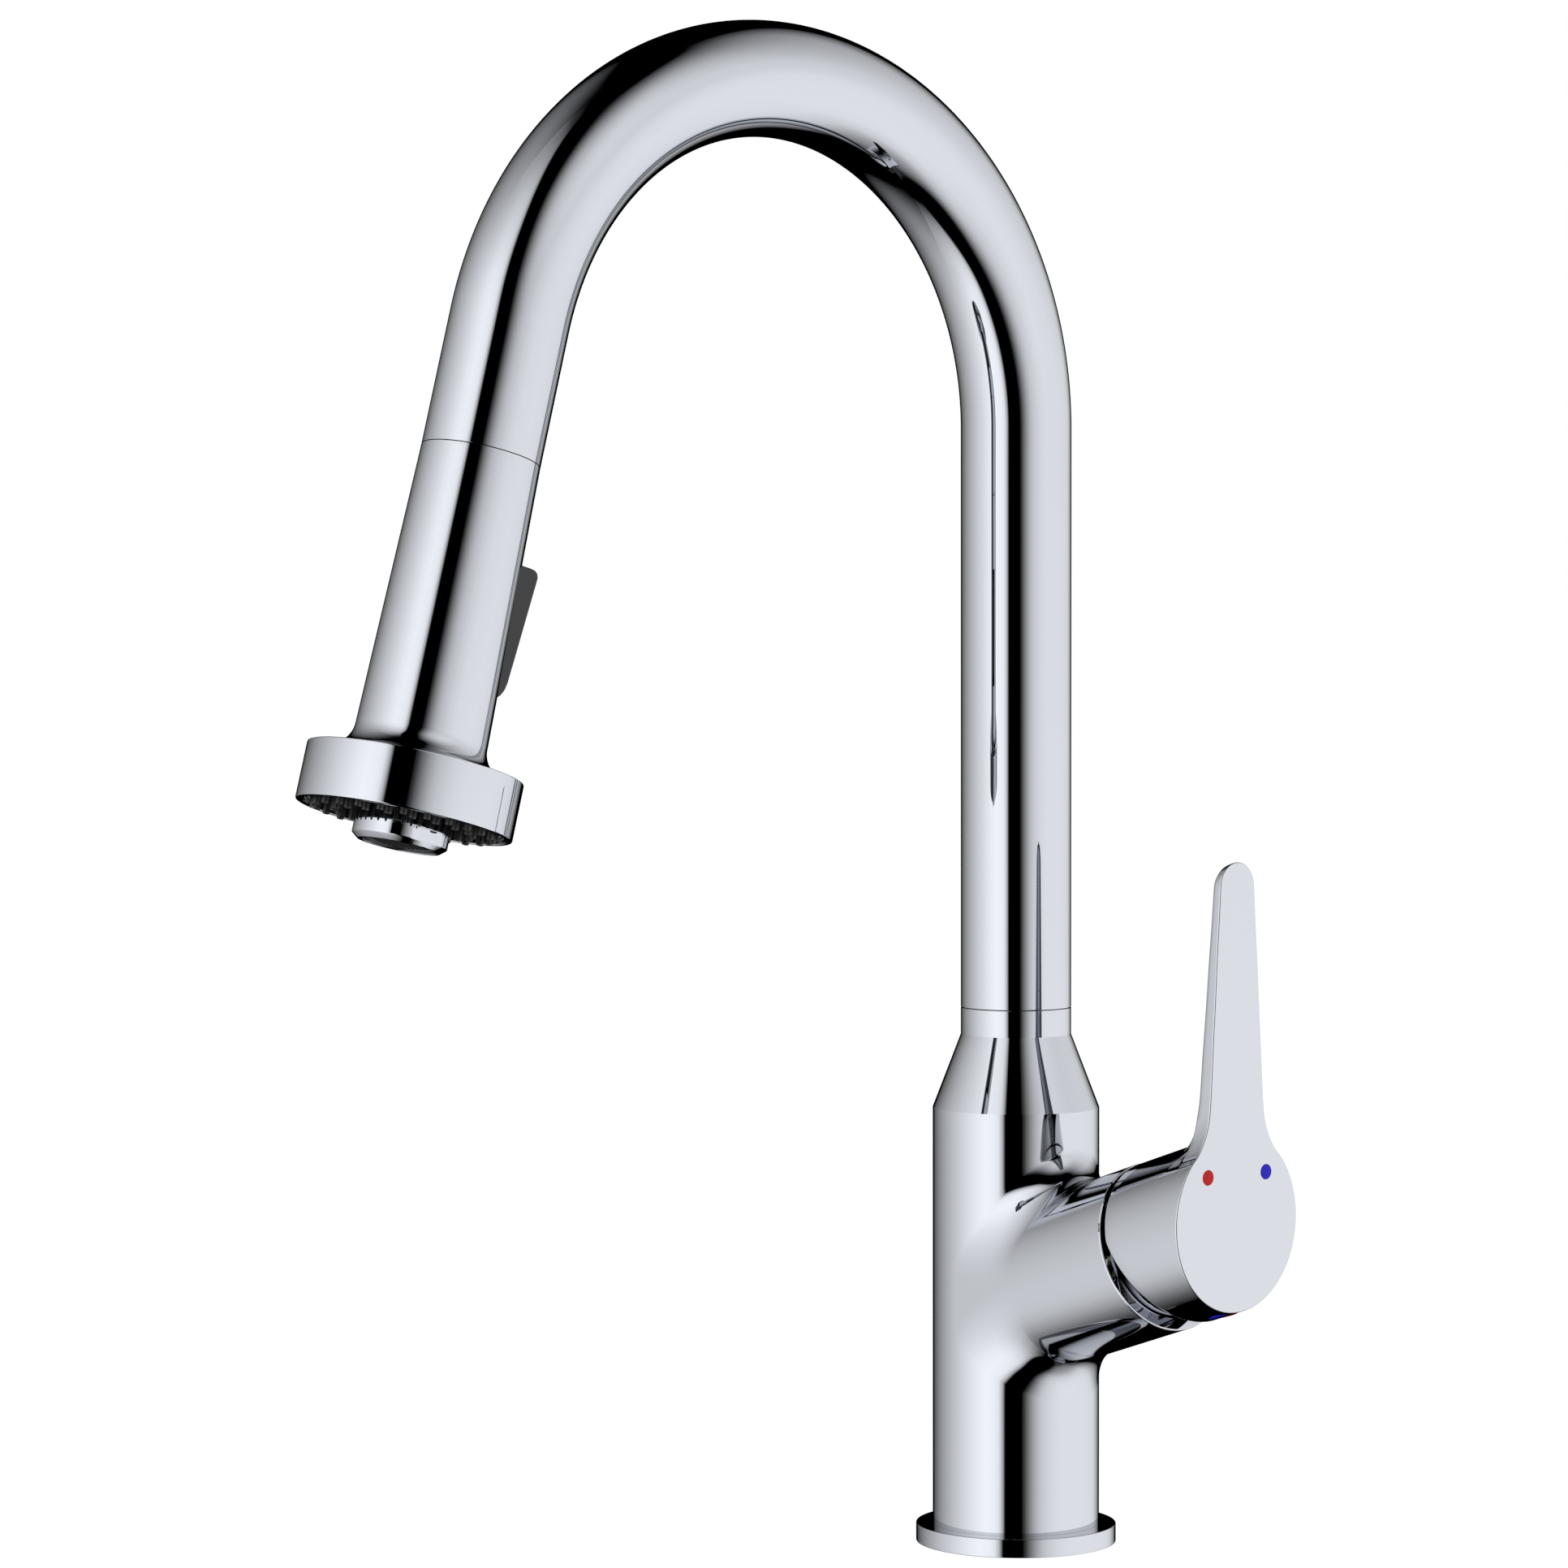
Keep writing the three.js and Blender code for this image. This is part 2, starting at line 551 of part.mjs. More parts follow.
const tubeLine = new SpoutLine(NECK_TOP + 0.4, LEG_LENGTH);
const hoseBottom = SHANK_BOTTOM - 4;
const hoseLine = new SpoutLine(hoseBottom, 24);
const fittingTop = hoseBottom - GAP;
place(faucet, "spout_tube", alongSpout(TUBE_RADIUS, TUBE_BORE, tubeLine, 32, 20), "chrome");
place(faucet, "lower_swivel_bush", ring(10.3, 12.2, 136.9, 144, 24), "whitePlastic");
place(faucet, "swivel_o_ring", ring(10.3, 12.2, 144.6, 147, 24), "rubber");
place(faucet, "upper_swivel_bush", ring(10.3, 12.2, 147.6, 155.3, 24), "whitePlastic");
place(wandFrame, "docking_collar", ring(10.4, 12.2, 12, 31.5, 24), "darkPlastic");
place(faucet, "spray_hose", alongSpout(HOSE_RADIUS, 0, hoseLine, 48, 8), "braid");
place(faucet, "hose_end_fitting", hexagon(7.5, fittingTop - 16, fittingTop), "brass");

place(wandFrame, "wand_shell", wandShell(), "chrome");
place(wandFrame, "dock_neck", dockNeck(), "darkPlastic");
place(wandFrame, "hose_ferrule", ring(5.8, 7, 14, 24, 16), "steel");
place(wandFrame, "hose_connector", hoseConnector(), "brass");
place(wandFrame, "wand_core", wandCore(), "whitePlastic");
place(wandFrame, "check_valve", disc(3.5, 49, 57, 12).translate(0, 1.5, 0), "whitePlastic");
place(wandFrame, "toggle_button", toggleButton(), "darkPlastic");
place(wandFrame, "toggle_pin",
  rod([-8.8, TOGGLE_PIVOT.y, TOGGLE_PIVOT.z], [8.8, TOGGLE_PIVOT.y, TOGGLE_PIVOT.z], 0.9, 10),
  "steel");
place(wandFrame, "diverter_plunger",
  rod([0, -8.7, PLUNGER_PLACE], [0, 4.2, PLUNGER_PLACE], 2.4, 12), "brass");
place(wandFrame, "head_body", headBody(), "whitePlastic");
place(wandFrame, "head_seal", ring(11.3, 13, 102, 103.8, 20), "rubber");
place(wandFrame, "nozzle_mat", nozzleMat(), "silicone");
place(wandFrame, "face_plate", facePlate(), "darkPlastic");
place(wandFrame, "aerator_housing", aeratorHousing(), "chrome");
place(wandFrame, "aerator_washer", ring(5.5, 8.5, 111.7, 113, 16), "rubber");
place(wandFrame, "aerator_insert", disc(8.5, 113.3, 124.7, 20), "darkPlastic");

export default faucet;
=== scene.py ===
import math

import bmesh
import bpy
import numpy as np
from mathutils import Matrix


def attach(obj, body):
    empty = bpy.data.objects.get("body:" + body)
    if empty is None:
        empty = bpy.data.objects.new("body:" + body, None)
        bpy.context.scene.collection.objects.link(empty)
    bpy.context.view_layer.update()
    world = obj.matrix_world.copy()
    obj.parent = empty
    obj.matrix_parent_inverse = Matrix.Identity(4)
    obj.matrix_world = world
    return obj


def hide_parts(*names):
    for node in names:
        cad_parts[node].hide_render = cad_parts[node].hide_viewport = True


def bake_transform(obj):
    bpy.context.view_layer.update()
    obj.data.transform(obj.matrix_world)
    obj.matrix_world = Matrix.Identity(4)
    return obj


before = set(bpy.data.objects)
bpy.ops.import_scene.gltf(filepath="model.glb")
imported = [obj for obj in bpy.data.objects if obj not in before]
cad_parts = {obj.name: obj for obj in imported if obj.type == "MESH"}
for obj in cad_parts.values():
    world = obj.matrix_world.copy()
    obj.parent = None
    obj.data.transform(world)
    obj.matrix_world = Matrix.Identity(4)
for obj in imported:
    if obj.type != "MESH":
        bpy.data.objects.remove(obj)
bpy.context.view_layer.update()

# ---- Deck flange ----
# A turned brass disc, bright chromed like everything that shows above the deck. The body stands on
# it and its rubber ring lies in a groove underneath. Its edges are broken by a fraction of a
# millimetre.
grain = bpy.data.node_groups.new("Surface grain", "ShaderNodeTree")
for label, kind, start in (
    ("Scale", "NodeSocketFloat", 400.0),
    ("Colour", "NodeSocketColor", (0.5, 0.5, 0.5, 1)),
    ("Shade", "NodeSocketFloat", 0.1),
    ("Roughness", "NodeSocketFloat", 0.3),
    ("Spread", "NodeSocketFloat", 0.05),
):
    grain.interface.new_socket(label, in_out="INPUT", socket_type=kind).default_value = start
grain.interface.new_socket("Colour", in_out="OUTPUT", socket_type="NodeSocketColor")
grain.interface.new_socket("Roughness", in_out="OUTPUT", socket_type="NodeSocketFloat")
grain.interface.new_socket("Height", in_out="OUTPUT", socket_type="NodeSocketFloat")
given, made = grain.nodes.new("NodeGroupInput"), grain.nodes.new("NodeGroupOutput")
place = grain.nodes.new("ShaderNodeTexCoord")
cloud, fine = (grain.nodes.new("ShaderNodeTexNoise") for _ in range(2))
cloud.inputs["Scale"].default_value = 35
cloud.inputs["Detail"].default_value = 3
fine.inputs["Detail"].default_value = 4
for noise in (cloud, fine):
    grain.links.new(place.outputs["Object"], noise.inputs["Vector"])
grain.links.new(given.outputs["Scale"], fine.inputs["Scale"])
swing = grain.nodes.new("ShaderNodeMath")
swing.operation = "SUBTRACT"
swing.inputs[1].default_value = 0.5
grain.links.new(cloud.outputs["Fac"], swing.inputs[0])
dull = grain.nodes.new("ShaderNodeMath")
dull.operation = "MULTIPLY_ADD"
grain.links.new(swing.outputs[0], dull.inputs[0])
grain.links.new(given.outputs["Spread"], dull.inputs[1])
grain.links.new(given.outputs["Roughness"], dull.inputs[2])
grain.links.new(dull.outputs[0], made.inputs["Roughness"])
darker = grain.nodes.new("ShaderNodeMath")
darker.operation = "MULTIPLY_ADD"
darker.inputs[2].default_value = 1.0
grain.links.new(swing.outputs[0], darker.inputs[0])
grain.links.new(given.outputs["Shade"], darker.inputs[1])
tone = grain.nodes.new("ShaderNodeVectorMath")
tone.operation = "SCALE"
grain.links.new(given.outputs["Colour"], tone.inputs[0])
grain.links.new(darker.outputs[0], tone.inputs["Scale"])
grain.links.new(tone.outputs[0], made.inputs["Colour"])
grain.links.new(fine.outputs["Fac"], made.inputs["Height"])


def surface(name, colour, metallic, roughness, spread, scale, shade=0.0, relief=0.0):
    """A material whose gloss and tone drift a little over the piece, with a fine grain in relief."""
    made_of = bpy.data.materials.new(name)
    made_of.use_nodes = True
    tree = made_of.node_tree
    shader = tree.nodes["Principled BSDF"]
    shader.inputs["Metallic"].default_value = metallic
    shader.inputs["Base Color"].default_value = (*colour, 1)
    drift = tree.nodes.new("ShaderNodeGroup")
    drift.node_tree = grain
    drift.inputs["Scale"].default_value = scale
    drift.inputs["Roughness"].default_value = roughness
    drift.inputs["Spread"].default_value = spread
    tree.links.new(drift.outputs["Roughness"], shader.inputs["Roughness"])
    if shade:
        drift.inputs["Colour"].default_value = (*colour, 1)
        drift.inputs["Shade"].default_value = shade
        tree.links.new(drift.outputs["Colour"], shader.inputs["Base Color"])
    if relief:
        bump = tree.nodes.new("ShaderNodeBump")
        bump.inputs["Strength"].default_value = 0.5
        bump.inputs["Distance"].default_value = relief
        tree.links.new(drift.outputs["Height"], bump.inputs["Height"])
        tree.links.new(bump.outputs["Normal"], shader.inputs["Normal"])
    return made_of


chrome = surface("Bright chrome", (0.505, 0.521, 0.559), 1.0, 0.02, 0.015, 900)


def eased(outline, radius=0.3, steps=4):
    """A closed outline with each of its corners rounded off."""
    rounded = []
    corners = [np.array(point, float) for point in outline]
    for index, corner in enumerate(corners):
        before, after = corners[index - 1] - corner, corners[(index + 1) % len(corners)] - corner
        near, far = np.linalg.norm(before), np.linalg.norm(after)
        before, after = before / near, after / far
        opening = math.acos(max(-1.0, min(1.0, float(before @ after))))
        if opening > math.radians(165) or corner[0] < 1e-6:
            rounded.append(corner)
            continue
        back = min(radius / math.tan(opening / 2), 0.45 * near, 0.45 * far)
        for step in range(steps + 1):
            t = step / steps
            a, b = corner + before * back, corner + after * back
            rounded.append((1 - t) ** 2 * a + 2 * t * (1 - t) * corner + t**2 * b)
    return rounded


def stand(name, points, faces, material, body, nodes=(), sharp=30.0):
    """Makes the mesh from points in millimetres, shades it and lets it stand for its CAD nodes."""
    mesh = bpy.data.meshes.new(name)
    mesh.from_pydata((np.asarray(points, float) / 1000).tolist(), [], faces)
    shape = bmesh.new()
    shape.from_mesh(mesh)
    bmesh.ops.remove_doubles(shape, verts=shape.verts, dist=2e-6)
    bmesh.ops.dissolve_degenerate(shape, edges=shape.edges, dist=1e-7)
    bmesh.ops.recalc_face_normals(shape, faces=shape.faces)
    shape.to_mesh(mesh)
    shape.free()
    mesh.shade_smooth()
    mesh.set_sharp_from_angle(angle=math.radians(sharp))
    mesh.materials.append(material)
    thing = bpy.data.objects.new(name, mesh)
    bpy.context.scene.collection.objects.link(thing)
    level = thing.modifiers.new("even shading", "WEIGHTED_NORMAL")
    level.keep_sharp = True
    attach(thing, body)
    if nodes:
        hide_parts(*nodes)
    return thing


def netted(rows, across_wraps=True, along_wraps=False, start=0):
    """Faces for rows of points laid side by side."""
    count, across = len(rows), len(rows[0])
    faces = []
    for row in range(count if along_wraps else count - 1):
        following = (row + 1) % count
        for column in range(across if across_wraps else across - 1):
            turn = (column + 1) % across
            faces.append((start + row * across + column, start + row * across + turn,
                          start + following * across + turn, start + following * across + column))
    return faces


def placed(points, matrix):
    """Points moved into the place that a matrix gives."""
    points = np.asarray(points, float).reshape(-1, 3)
    return points @ matrix[:3, :3].T + matrix[:3, 3]


def hoop(radius, height, turns):
    """A level ring of points; its radius may change on the way round."""
    return np.stack([radius * np.cos(turns), radius * np.sin(turns),
                     np.full(len(turns), height)], 1)


def spun(outline, sides=128, matrix=None):
    """Points and faces of a closed outline (radius, height) turned about the upright axis."""
    turns = np.linspace(0, 2 * np.pi, sides, endpoint=False)
    rows = [hoop(r, z, turns) for r, z in outline]
    faces = netted(rows, along_wraps=True)
    points = np.concatenate(rows)
    return (points if matrix is None else placed(points, matrix)), faces


FLANGE_RADIUS, FLANGE_TOP, FLANGE_BORE = 25.4, 4.7, 16.6
GROOVE_IN, GROOVE_OUT, GROOVE_TOP = 18.5, 23.6, 1.6
points, faces = spun(eased([
    (FLANGE_BORE, 0), (GROOVE_IN, 0), (GROOVE_IN, GROOVE_TOP), (GROOVE_OUT, GROOVE_TOP),
    (GROOVE_OUT, 0), (FLANGE_RADIUS, 0), (FLANGE_RADIUS, FLANGE_TOP),
    (FLANGE_BORE, FLANGE_TOP)], 0.28), 192)
stand("flange", points, faces, chrome, "base", ["deck_flange"])

# ---- Deck gasket and the fixing under the deck ----
# A flat rubber ring seals the flange. Below the deck a threaded brass shank carries a rubber washer,
# a steel washer and a hexagon nut that clamp the faucet down.
black_rubber = surface("Black rubber", (0.016, 0.016, 0.017), 0.0, 0.72, 0.12, 1500, 0.25, 4e-5)
brass = surface("Machined brass", (0.43, 0.33, 0.165), 1.0, 0.3, 0.12, 1100, 0.14, 1e-5)
plain_steel = surface("Plain steel", (0.38, 0.386, 0.392), 1.0, 0.32, 0.1, 1200, 0.08, 1e-5)

GAP = 0.3
seal_in, seal_out, seal_top = GROOVE_IN + GAP, GROOVE_OUT - GAP, GROOVE_TOP - GAP
points, faces = spun(eased([(seal_in, 0), (seal_out, 0), (seal_out, seal_top),
                            (seal_in, seal_top)], 0.35), 96)
stand("gasket", points, faces, black_rubber, "base", ["deck_gasket"])

SHANK, SHANK_BORE, SHANK_TOP, SHANK_FOOT = 16.15, 14.2, 16.7, -58.0
PITCH, THREAD, RUN_OUT = 1.5, 0.75, 2.0
turns = np.linspace(0, 2 * np.pi, 72, endpoint=False)
rows = []
for height in np.arange(SHANK_FOOT, SHANK_TOP + 1e-6, PITCH / 6):
    phase = ((height / PITCH) - turns / (2 * np.pi)) % 1.0
    fade = min(1.0, (height - SHANK_FOOT) / RUN_OUT, (SHANK_TOP - height) / RUN_OUT)
    radius = SHANK - THREAD * np.abs(2 * phase - 1) - 0.6 * (1 - max(fade, 0.0))
    rows.append(hoop(radius, height, turns))
rows += [hoop(SHANK_BORE, height, turns) for height in np.linspace(SHANK_TOP, SHANK_FOOT, 4)]
shank = stand("threaded_shank", np.concatenate(rows), netted(rows, along_wraps=True), brass,
              "base", ["mounting_shank"], 40)
shank.visible_glossy = False
WASHER, CLEARS_SHANK = 24.0, 16.5
for name, node, material, slot, low, high, edge in (
    ("rubber_ring", "rubber_washer", black_rubber, "black_rubber", -33.0, -30.0, 0.6),
    ("steel_ring", "steel_washer", plain_steel, "steel", -35.3, -33.3, 0.3),
):
    points, faces = spun(eased([(CLEARS_SHANK, low), (WASHER, low), (WASHER, high),
                                (CLEARS_SHANK, high)], edge), 96)
    washer = stand(name, points, faces, material, "base", [node])
    washer.visible_glossy = False


def hexagonal(low, high, corner, bore, chamfer=0.8, sides=96, matrix=None):
    """A hexagon with its corners turned off at both ends, and a bore if it has one."""
    turns = np.linspace(0, 2 * np.pi, sides, endpoint=False)
    flat = corner * math.cos(math.pi / 6)
    reach = flat / np.cos((turns % (math.pi / 3)) - math.pi / 6)
    rows = []
    for z, cone in ((low, flat - 0.4), (low + 0.25, flat), (low + 0.5 * chamfer, flat + 1.2),
                    (low + chamfer, corner), (high - chamfer, corner),
                    (high - 0.5 * chamfer, flat + 1.2), (high - 0.25, flat), (high, flat - 0.4)):
        rows.append(hoop(np.minimum(reach, cone), z, turns))
    for z, radius in ((high, bore + 0.5), (high - 0.5, bore), (low + 0.5, bore), (low, bore + 0.5)):
        rows.append(hoop(radius if bore else 1e-3, z, turns))
    points = np.concatenate(rows)
    return (points if matrix is None else placed(points, matrix)), netted(rows, along_wraps=True)


points, faces = hexagonal(-44.6, -35.6, 26, CLEARS_SHANK)
nut = stand("clamping_nut", points, faces, brass, "base", ["mounting_nut"], 22)
nut.visible_glossy = False

# ---- Body ----
# One brass casting: an upright cylinder that narrows in a cone to the neck, with the valve's
# branch rising from its side at 18 degrees. A broad fillet blends the branch in all round, and the
# cone's two edges are left crisp.
RISE = math.radians(18.45)
BODY, BRANCH_HEIGHT, BRANCH_END = 21.15, 62.53, 55.3
FOOT, CONE_BOTTOM, CONE_TOP, NECK, NECK_TOP = 4.72, 110.7, 129.3, 14.0, 136.1
SPIGOT, SPIGOT_BORE, SPIGOT_TOP, RING_GROOVE = 10.0, 7.2, 158.5, 9.2
SOCKET, SOCKET_TOP, HOSE_WAY, CHAMBER, CHAMBER_FLOOR = 16.5, 17.0, 6.0, 17.8, 30.0
SETBACK, REACH, REACH_BELOW, REACH_ABOVE = 10.0, 10.7, math.radians(28), math.radians(17)
LIP, WALL_STEPS, FILLET_STEPS, HALF_SIDES = 0.35, 14, 21, 96
out = np.array([math.cos(RISE), 0, math.sin(RISE)])
up = np.array([-math.sin(RISE), 0, math.cos(RISE)])
across = np.array([0, 1.0, 0])
branch = np.eye(4)
branch[:3, 0], branch[:3, 1], branch[:3, 2] = -up, across, out
branch[:3, 3] = 0, 0, BRANCH_HEIGHT


def flank(angle, lower):
    """Points up or down the body's wall, round the fillet and out along the branch."""
    side = -1 if lower else 1
    ahead = abs(math.cos(angle))
    meets = np.array([BODY * ahead, BODY * math.sin(angle), BRANCH_HEIGHT
                      + side * BODY * ahead * (1 + side * math.sin(RISE)) / math.cos(RISE)])
    off = (math.pi / 2 - math.asin(abs(math.sin(angle)))) / (REACH_BELOW if lower else REACH_ABOVE)
    on_body = meets + np.array([0, 0, side * SETBACK])
    on_branch = meets + (SETBACK + REACH * math.exp(-off**2)) * out
    far = FOOT if lower else CONE_BOTTOM
    line = [np.array([meets[0], meets[1], far + (on_body[2] - far) * t])
            for t in np.linspace(0, 1, WALL_STEPS)[:-1]]
    pull = math.cos((math.pi / 2 + side * RISE) / 2)
    for t in np.linspace(0, 1, FILLET_STEPS):
        shares = (1 - t) ** 2, 2 * pull * t * (1 - t), t**2
        line.append((shares[0] * on_body + shares[1] * meets + shares[2] * on_branch)
                    / sum(shares))
    around = math.cos(angle) * up + math.sin(angle) * across
    end = np.array([0, 0, BRANCH_HEIGHT]) + (BRANCH_END - LIP) * out + BODY * around
    line += [on_branch + (end - on_branch) * t for t in np.linspace(0, 1, 10)[1:]]
    for radius, place_out in ((BODY - 0.1, BRANCH_END - 0.1), (BODY - LIP, BRANCH_END),
                              (CHAMBER + 0.3, BRANCH_END), (CHAMBER, BRANCH_END - 0.3),
                              (CHAMBER, 53.6), (CHAMBER, CHAMBER_FLOOR)):
        line.append(np.array([0, 0, BRANCH_HEIGHT]) + place_out * out + radius * around)
    return line


points, faces, edges = [], [], []
fillet = slice(WALL_STEPS - 1, WALL_STEPS - 1 + FILLET_STEPS)
for lower, sweep in ((False, np.linspace(-np.pi / 2, np.pi / 2, HALF_SIDES + 1)),
                     (True, np.linspace(np.pi / 2, 3 * np.pi / 2, HALF_SIDES + 1))):
    columns = [flank(a, lower) for a in sweep]
    faces += netted(columns, across_wraps=False, start=len(points))
    points += [p for column in columns for p in column]
    edges.append((columns[0][fillet], columns[-1][fillet]))
for above, below in ((edges[0][0], edges[1][1]), (edges[0][1], edges[1][0])):
    web = [[a + (b - a) * t for t in np.linspace(0, 1, 9)] for a, b in zip(above, below)]
    faces += netted(web, across_wraps=False, start=len(points))
    points += [p for row in web for p in row]
rear = np.linspace(np.pi / 2, 3 * np.pi / 2, HALF_SIDES + 1)
heights = [*np.linspace(FOOT, BRANCH_HEIGHT - SETBACK, WALL_STEPS),
           *np.linspace(BRANCH_HEIGHT - SETBACK, BRANCH_HEIGHT + SETBACK, 9)[1:],
           *np.linspace(BRANCH_HEIGHT + SETBACK, CONE_BOTTOM, WALL_STEPS)[1:]]
back = [hoop(BODY, z, rear) for z in heights]
faces += netted(back, across_wraps=False, start=len(points))
points += [p for row in back for p in row]
circle = np.linspace(-np.pi / 2, 3 * np.pi / 2, 2 * HALF_SIDES + 1)[:-1]
for outline in (
    [(BODY, CONE_BOTTOM), (17.5, 120.2), (NECK, CONE_TOP), (NECK, 132.7), (NECK, NECK_TOP - 0.12),
     (NECK - 0.12, NECK_TOP), (SPIGOT, NECK_TOP), (SPIGOT, 155.6), (RING_GROOVE, 155.6),
     (RING_GROOVE, 157.2), (SPIGOT, 157.2), (SPIGOT, SPIGOT_TOP - 0.3),
     (SPIGOT - 0.3, SPIGOT_TOP), (SPIGOT_BORE, SPIGOT_TOP), (SPIGOT_BORE, 127), (8.5, 127),
     (8.5, 44), (HOSE_WAY, 44), (HOSE_WAY, SOCKET_TOP)],
    [(BODY, FOOT), (SOCKET, FOOT), (SOCKET, SOCKET_TOP), (HOSE_WAY, SOCKET_TOP)],
):
    rows = [hoop(r, z, circle) for r, z in outline]
    faces += netted(rows, start=len(points))
    points += [p for row in rows for p in row]
stand("body", points, faces, chrome, "base", ["main_body"], 14)

# ---- Valve cartridge ----
# A 35 mm ceramic-disc cartridge in the branch: white acetal housing, two lapped ceramic discs, a
# brass nut that holds it down and a stem that the handle sits on. A domed chrome ring covers it.
acetal = surface("White acetal", (0.44, 0.43, 0.39), 0.0, 0.42, 0.1, 1400, 0.06, 1e-5)
ceramic = surface("Lapped ceramic", (0.51, 0.505, 0.49), 0.0, 0.16, 0.05, 2200, 0.03, 4e-6)
black_plastic = surface("Black plastic", (0.009, 0.009, 0.010), 0.0, 0.42, 0.12, 1600, 0.2, 8e-6)


def finish_of(material, *nodes):
    """Gives CAD nodes that stay as they are their finish."""
    for node in nodes:
        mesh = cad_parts[node].data
        mesh.materials.clear()
        mesh.materials.append(material)


finish_of(black_rubber, "cartridge_gasket", "swivel_o_ring", "head_seal", "aerator_washer")
finish_of(acetal, "cartridge_base", "cartridge_housing")
finish_of(ceramic, "fixed_ceramic_disc", "moving_ceramic_disc")
finish_of(black_plastic, "disc_carrier", "stem_carrier")
finish_of(brass, "cartridge_nut", "cartridge_stem")
finish_of(plain_steel, "stem_pin", "spout_snap_ring")

PIVOT, DOME, DOME_FROM, DOME_TO, BONNET = 41.0, 23.2, 16.9, 14.6, 17.5
dome = [(DOME * math.sin(a), PIVOT + DOME * math.cos(a))
        for a in np.linspace(math.asin(DOME_FROM / DOME), math.asin(DOME_TO / DOME), 9)]
points, faces = spun([(15.6, 53.7), (BONNET - 0.2, 53.7), (BONNET, 53.9), (BONNET, 56.7), *dome,
                      (15.2, 57.3)], 128, branch)
stand("bonnet", points, faces, chrome, "base", ["bonnet_ring"])

# ---- Handle ----
# A forged lever: a hub with a flat upright face, and a thin blade that grows out of its top in one
# sweep. The hub's lower back edge is cut obliquely so that it clears the bonnet when it tilts.
FACE, HUB = 77.5, 21.0
FACE_MIDDLE, TALL = BRANCH_HEIGHT + FACE * math.tan(RISE), HUB / math.cos(RISE)
FLARE, ROOT, TIP, TIP_TOP = 15.2, 115.7, 5.9, 175.8
ROOT_DEPTH, BACK_EDGE, FRONT_EDGE, FACE_INSET = 5.0, 1.2, 0.4, 1.2
HUB_BACK, CUT_FROM, CUT_SLOPE, RIM_EDGE = 56.9, 2.5, 0.3, 0.4


def drawn_through(places, values):
    """A natural spline through the given values."""
    x, y = np.array(places, float), np.array(values, float)
    count, gap = len(x), np.diff(x)
    system, right = np.eye(count), np.zeros(count)
    for i in range(1, count - 1):
        system[i, i - 1:i + 2] = gap[i - 1], 2 * (gap[i - 1] + gap[i]), gap[i]
        right[i] = 6 * ((y[i + 1] - y[i]) / gap[i] - (y[i] - y[i - 1]) / gap[i - 1])
    bend = np.linalg.solve(system, right)

    def at(q):
        q = np.clip(np.asarray(q, float), x[0], x[-1])
        i = np.clip(np.searchsorted(x, q) - 1, 0, count - 2)
        a, b, g = x[i + 1] - q, q - x[i], gap[i]
        return (bend[i] * a**3 + bend[i + 1] * b**3) / (6 * g) + (
            y[i] / g - bend[i] * g / 6) * a + (y[i + 1] / g - bend[i + 1] * g / 6) * b

    return at


def hub_edge(y):
    """Height of the hub's upper edge on the face, y off its middle."""
    return FACE_MIDDLE + TALL * np.sqrt(np.maximum(0, 1 - (np.asarray(y) / HUB) ** 2))


flare_foot = float(hub_edge(FLARE))
half_width = drawn_through(
    [flare_foot, 105.0, 106.7, 109.1, 112.4, 116.4, 121, 129, 136.5, 144.5, 152.5, 160, 169.9],
    [FLARE, 13.75, 12.5, 11.2, 10.0, 9.36, 9.02, 8.55, 8.05, 7.55, 7.08, 6.55, TIP])
thickness = drawn_through([ROOT, 119, 125, 140, 168, 176], [ROOT_DEPTH, 4.6, 4.35, 3.88, 3.1, 2.9])
swell = drawn_through([ROOT_DEPTH, 5.5, 6, 7.1, 8.4, 10, 12.5], [1, 0.70, 0.49, 0.26, 0.1, 0.025, 0])


def blade_depth(y, z):
    """How far the blade's back lies behind the face, with its edge rounded."""
    tip_middle = TIP_TOP - TIP
    rim = half_width(z) - abs(y) if z <= tip_middle else TIP - math.hypot(y, z - tip_middle)
    inset = max(0.0, 1 - max(0.0, float(rim)) / BACK_EDGE)
    return float(thickness(z)) - BACK_EDGE * (1 - math.sqrt(max(0.0, 1 - inset**2)))


flare_rows = np.linspace(flare_foot, ROOT, 13)
blade_rows = np.linspace(ROOT, TIP_TOP - TIP, 34)[1:]
tip_turns = np.linspace(0, np.pi, 25)
disc_turns = np.linspace(math.asin(FLARE / HUB), 2 * np.pi - math.asin(FLARE / HUB), 129)
disc_line = [(HUB * math.sin(a), FACE_MIDDLE + TALL * math.cos(a)) for a in disc_turns]
left_side = [(-float(half_width(z)), z) for z in [*flare_rows[1:], *blade_rows]]
tip_line = [(-TIP * math.cos(a), TIP_TOP - TIP + TIP * math.sin(a)) for a in tip_turns[1:-1]]
right_side = [(-y, z) for y, z in reversed(left_side)]
outline = np.array(disc_line + left_side + tip_line + right_side)
total, disc_count = len(outline), len(disc_line)
ahead = np.roll(outline, -1, 0) - np.roll(outline, 1, 0)
inward = np.stack([ahead[:, 1], -ahead[:, 0]], 1)
inward /= np.linalg.norm(inward, axis=1)[:, None]
if (inward[0] @ (np.array([0, FACE_MIDDLE]) - outline[0])) < 0:
    inward = -inward
flare_count, blade_count = len(flare_rows) - 1, len(blade_rows)


def to_world(y, z, depth):
    """A point of the handle, given on its face and then moved back along the hub."""
    return np.array([FACE - depth, y, z - depth * math.tan(RISE)])


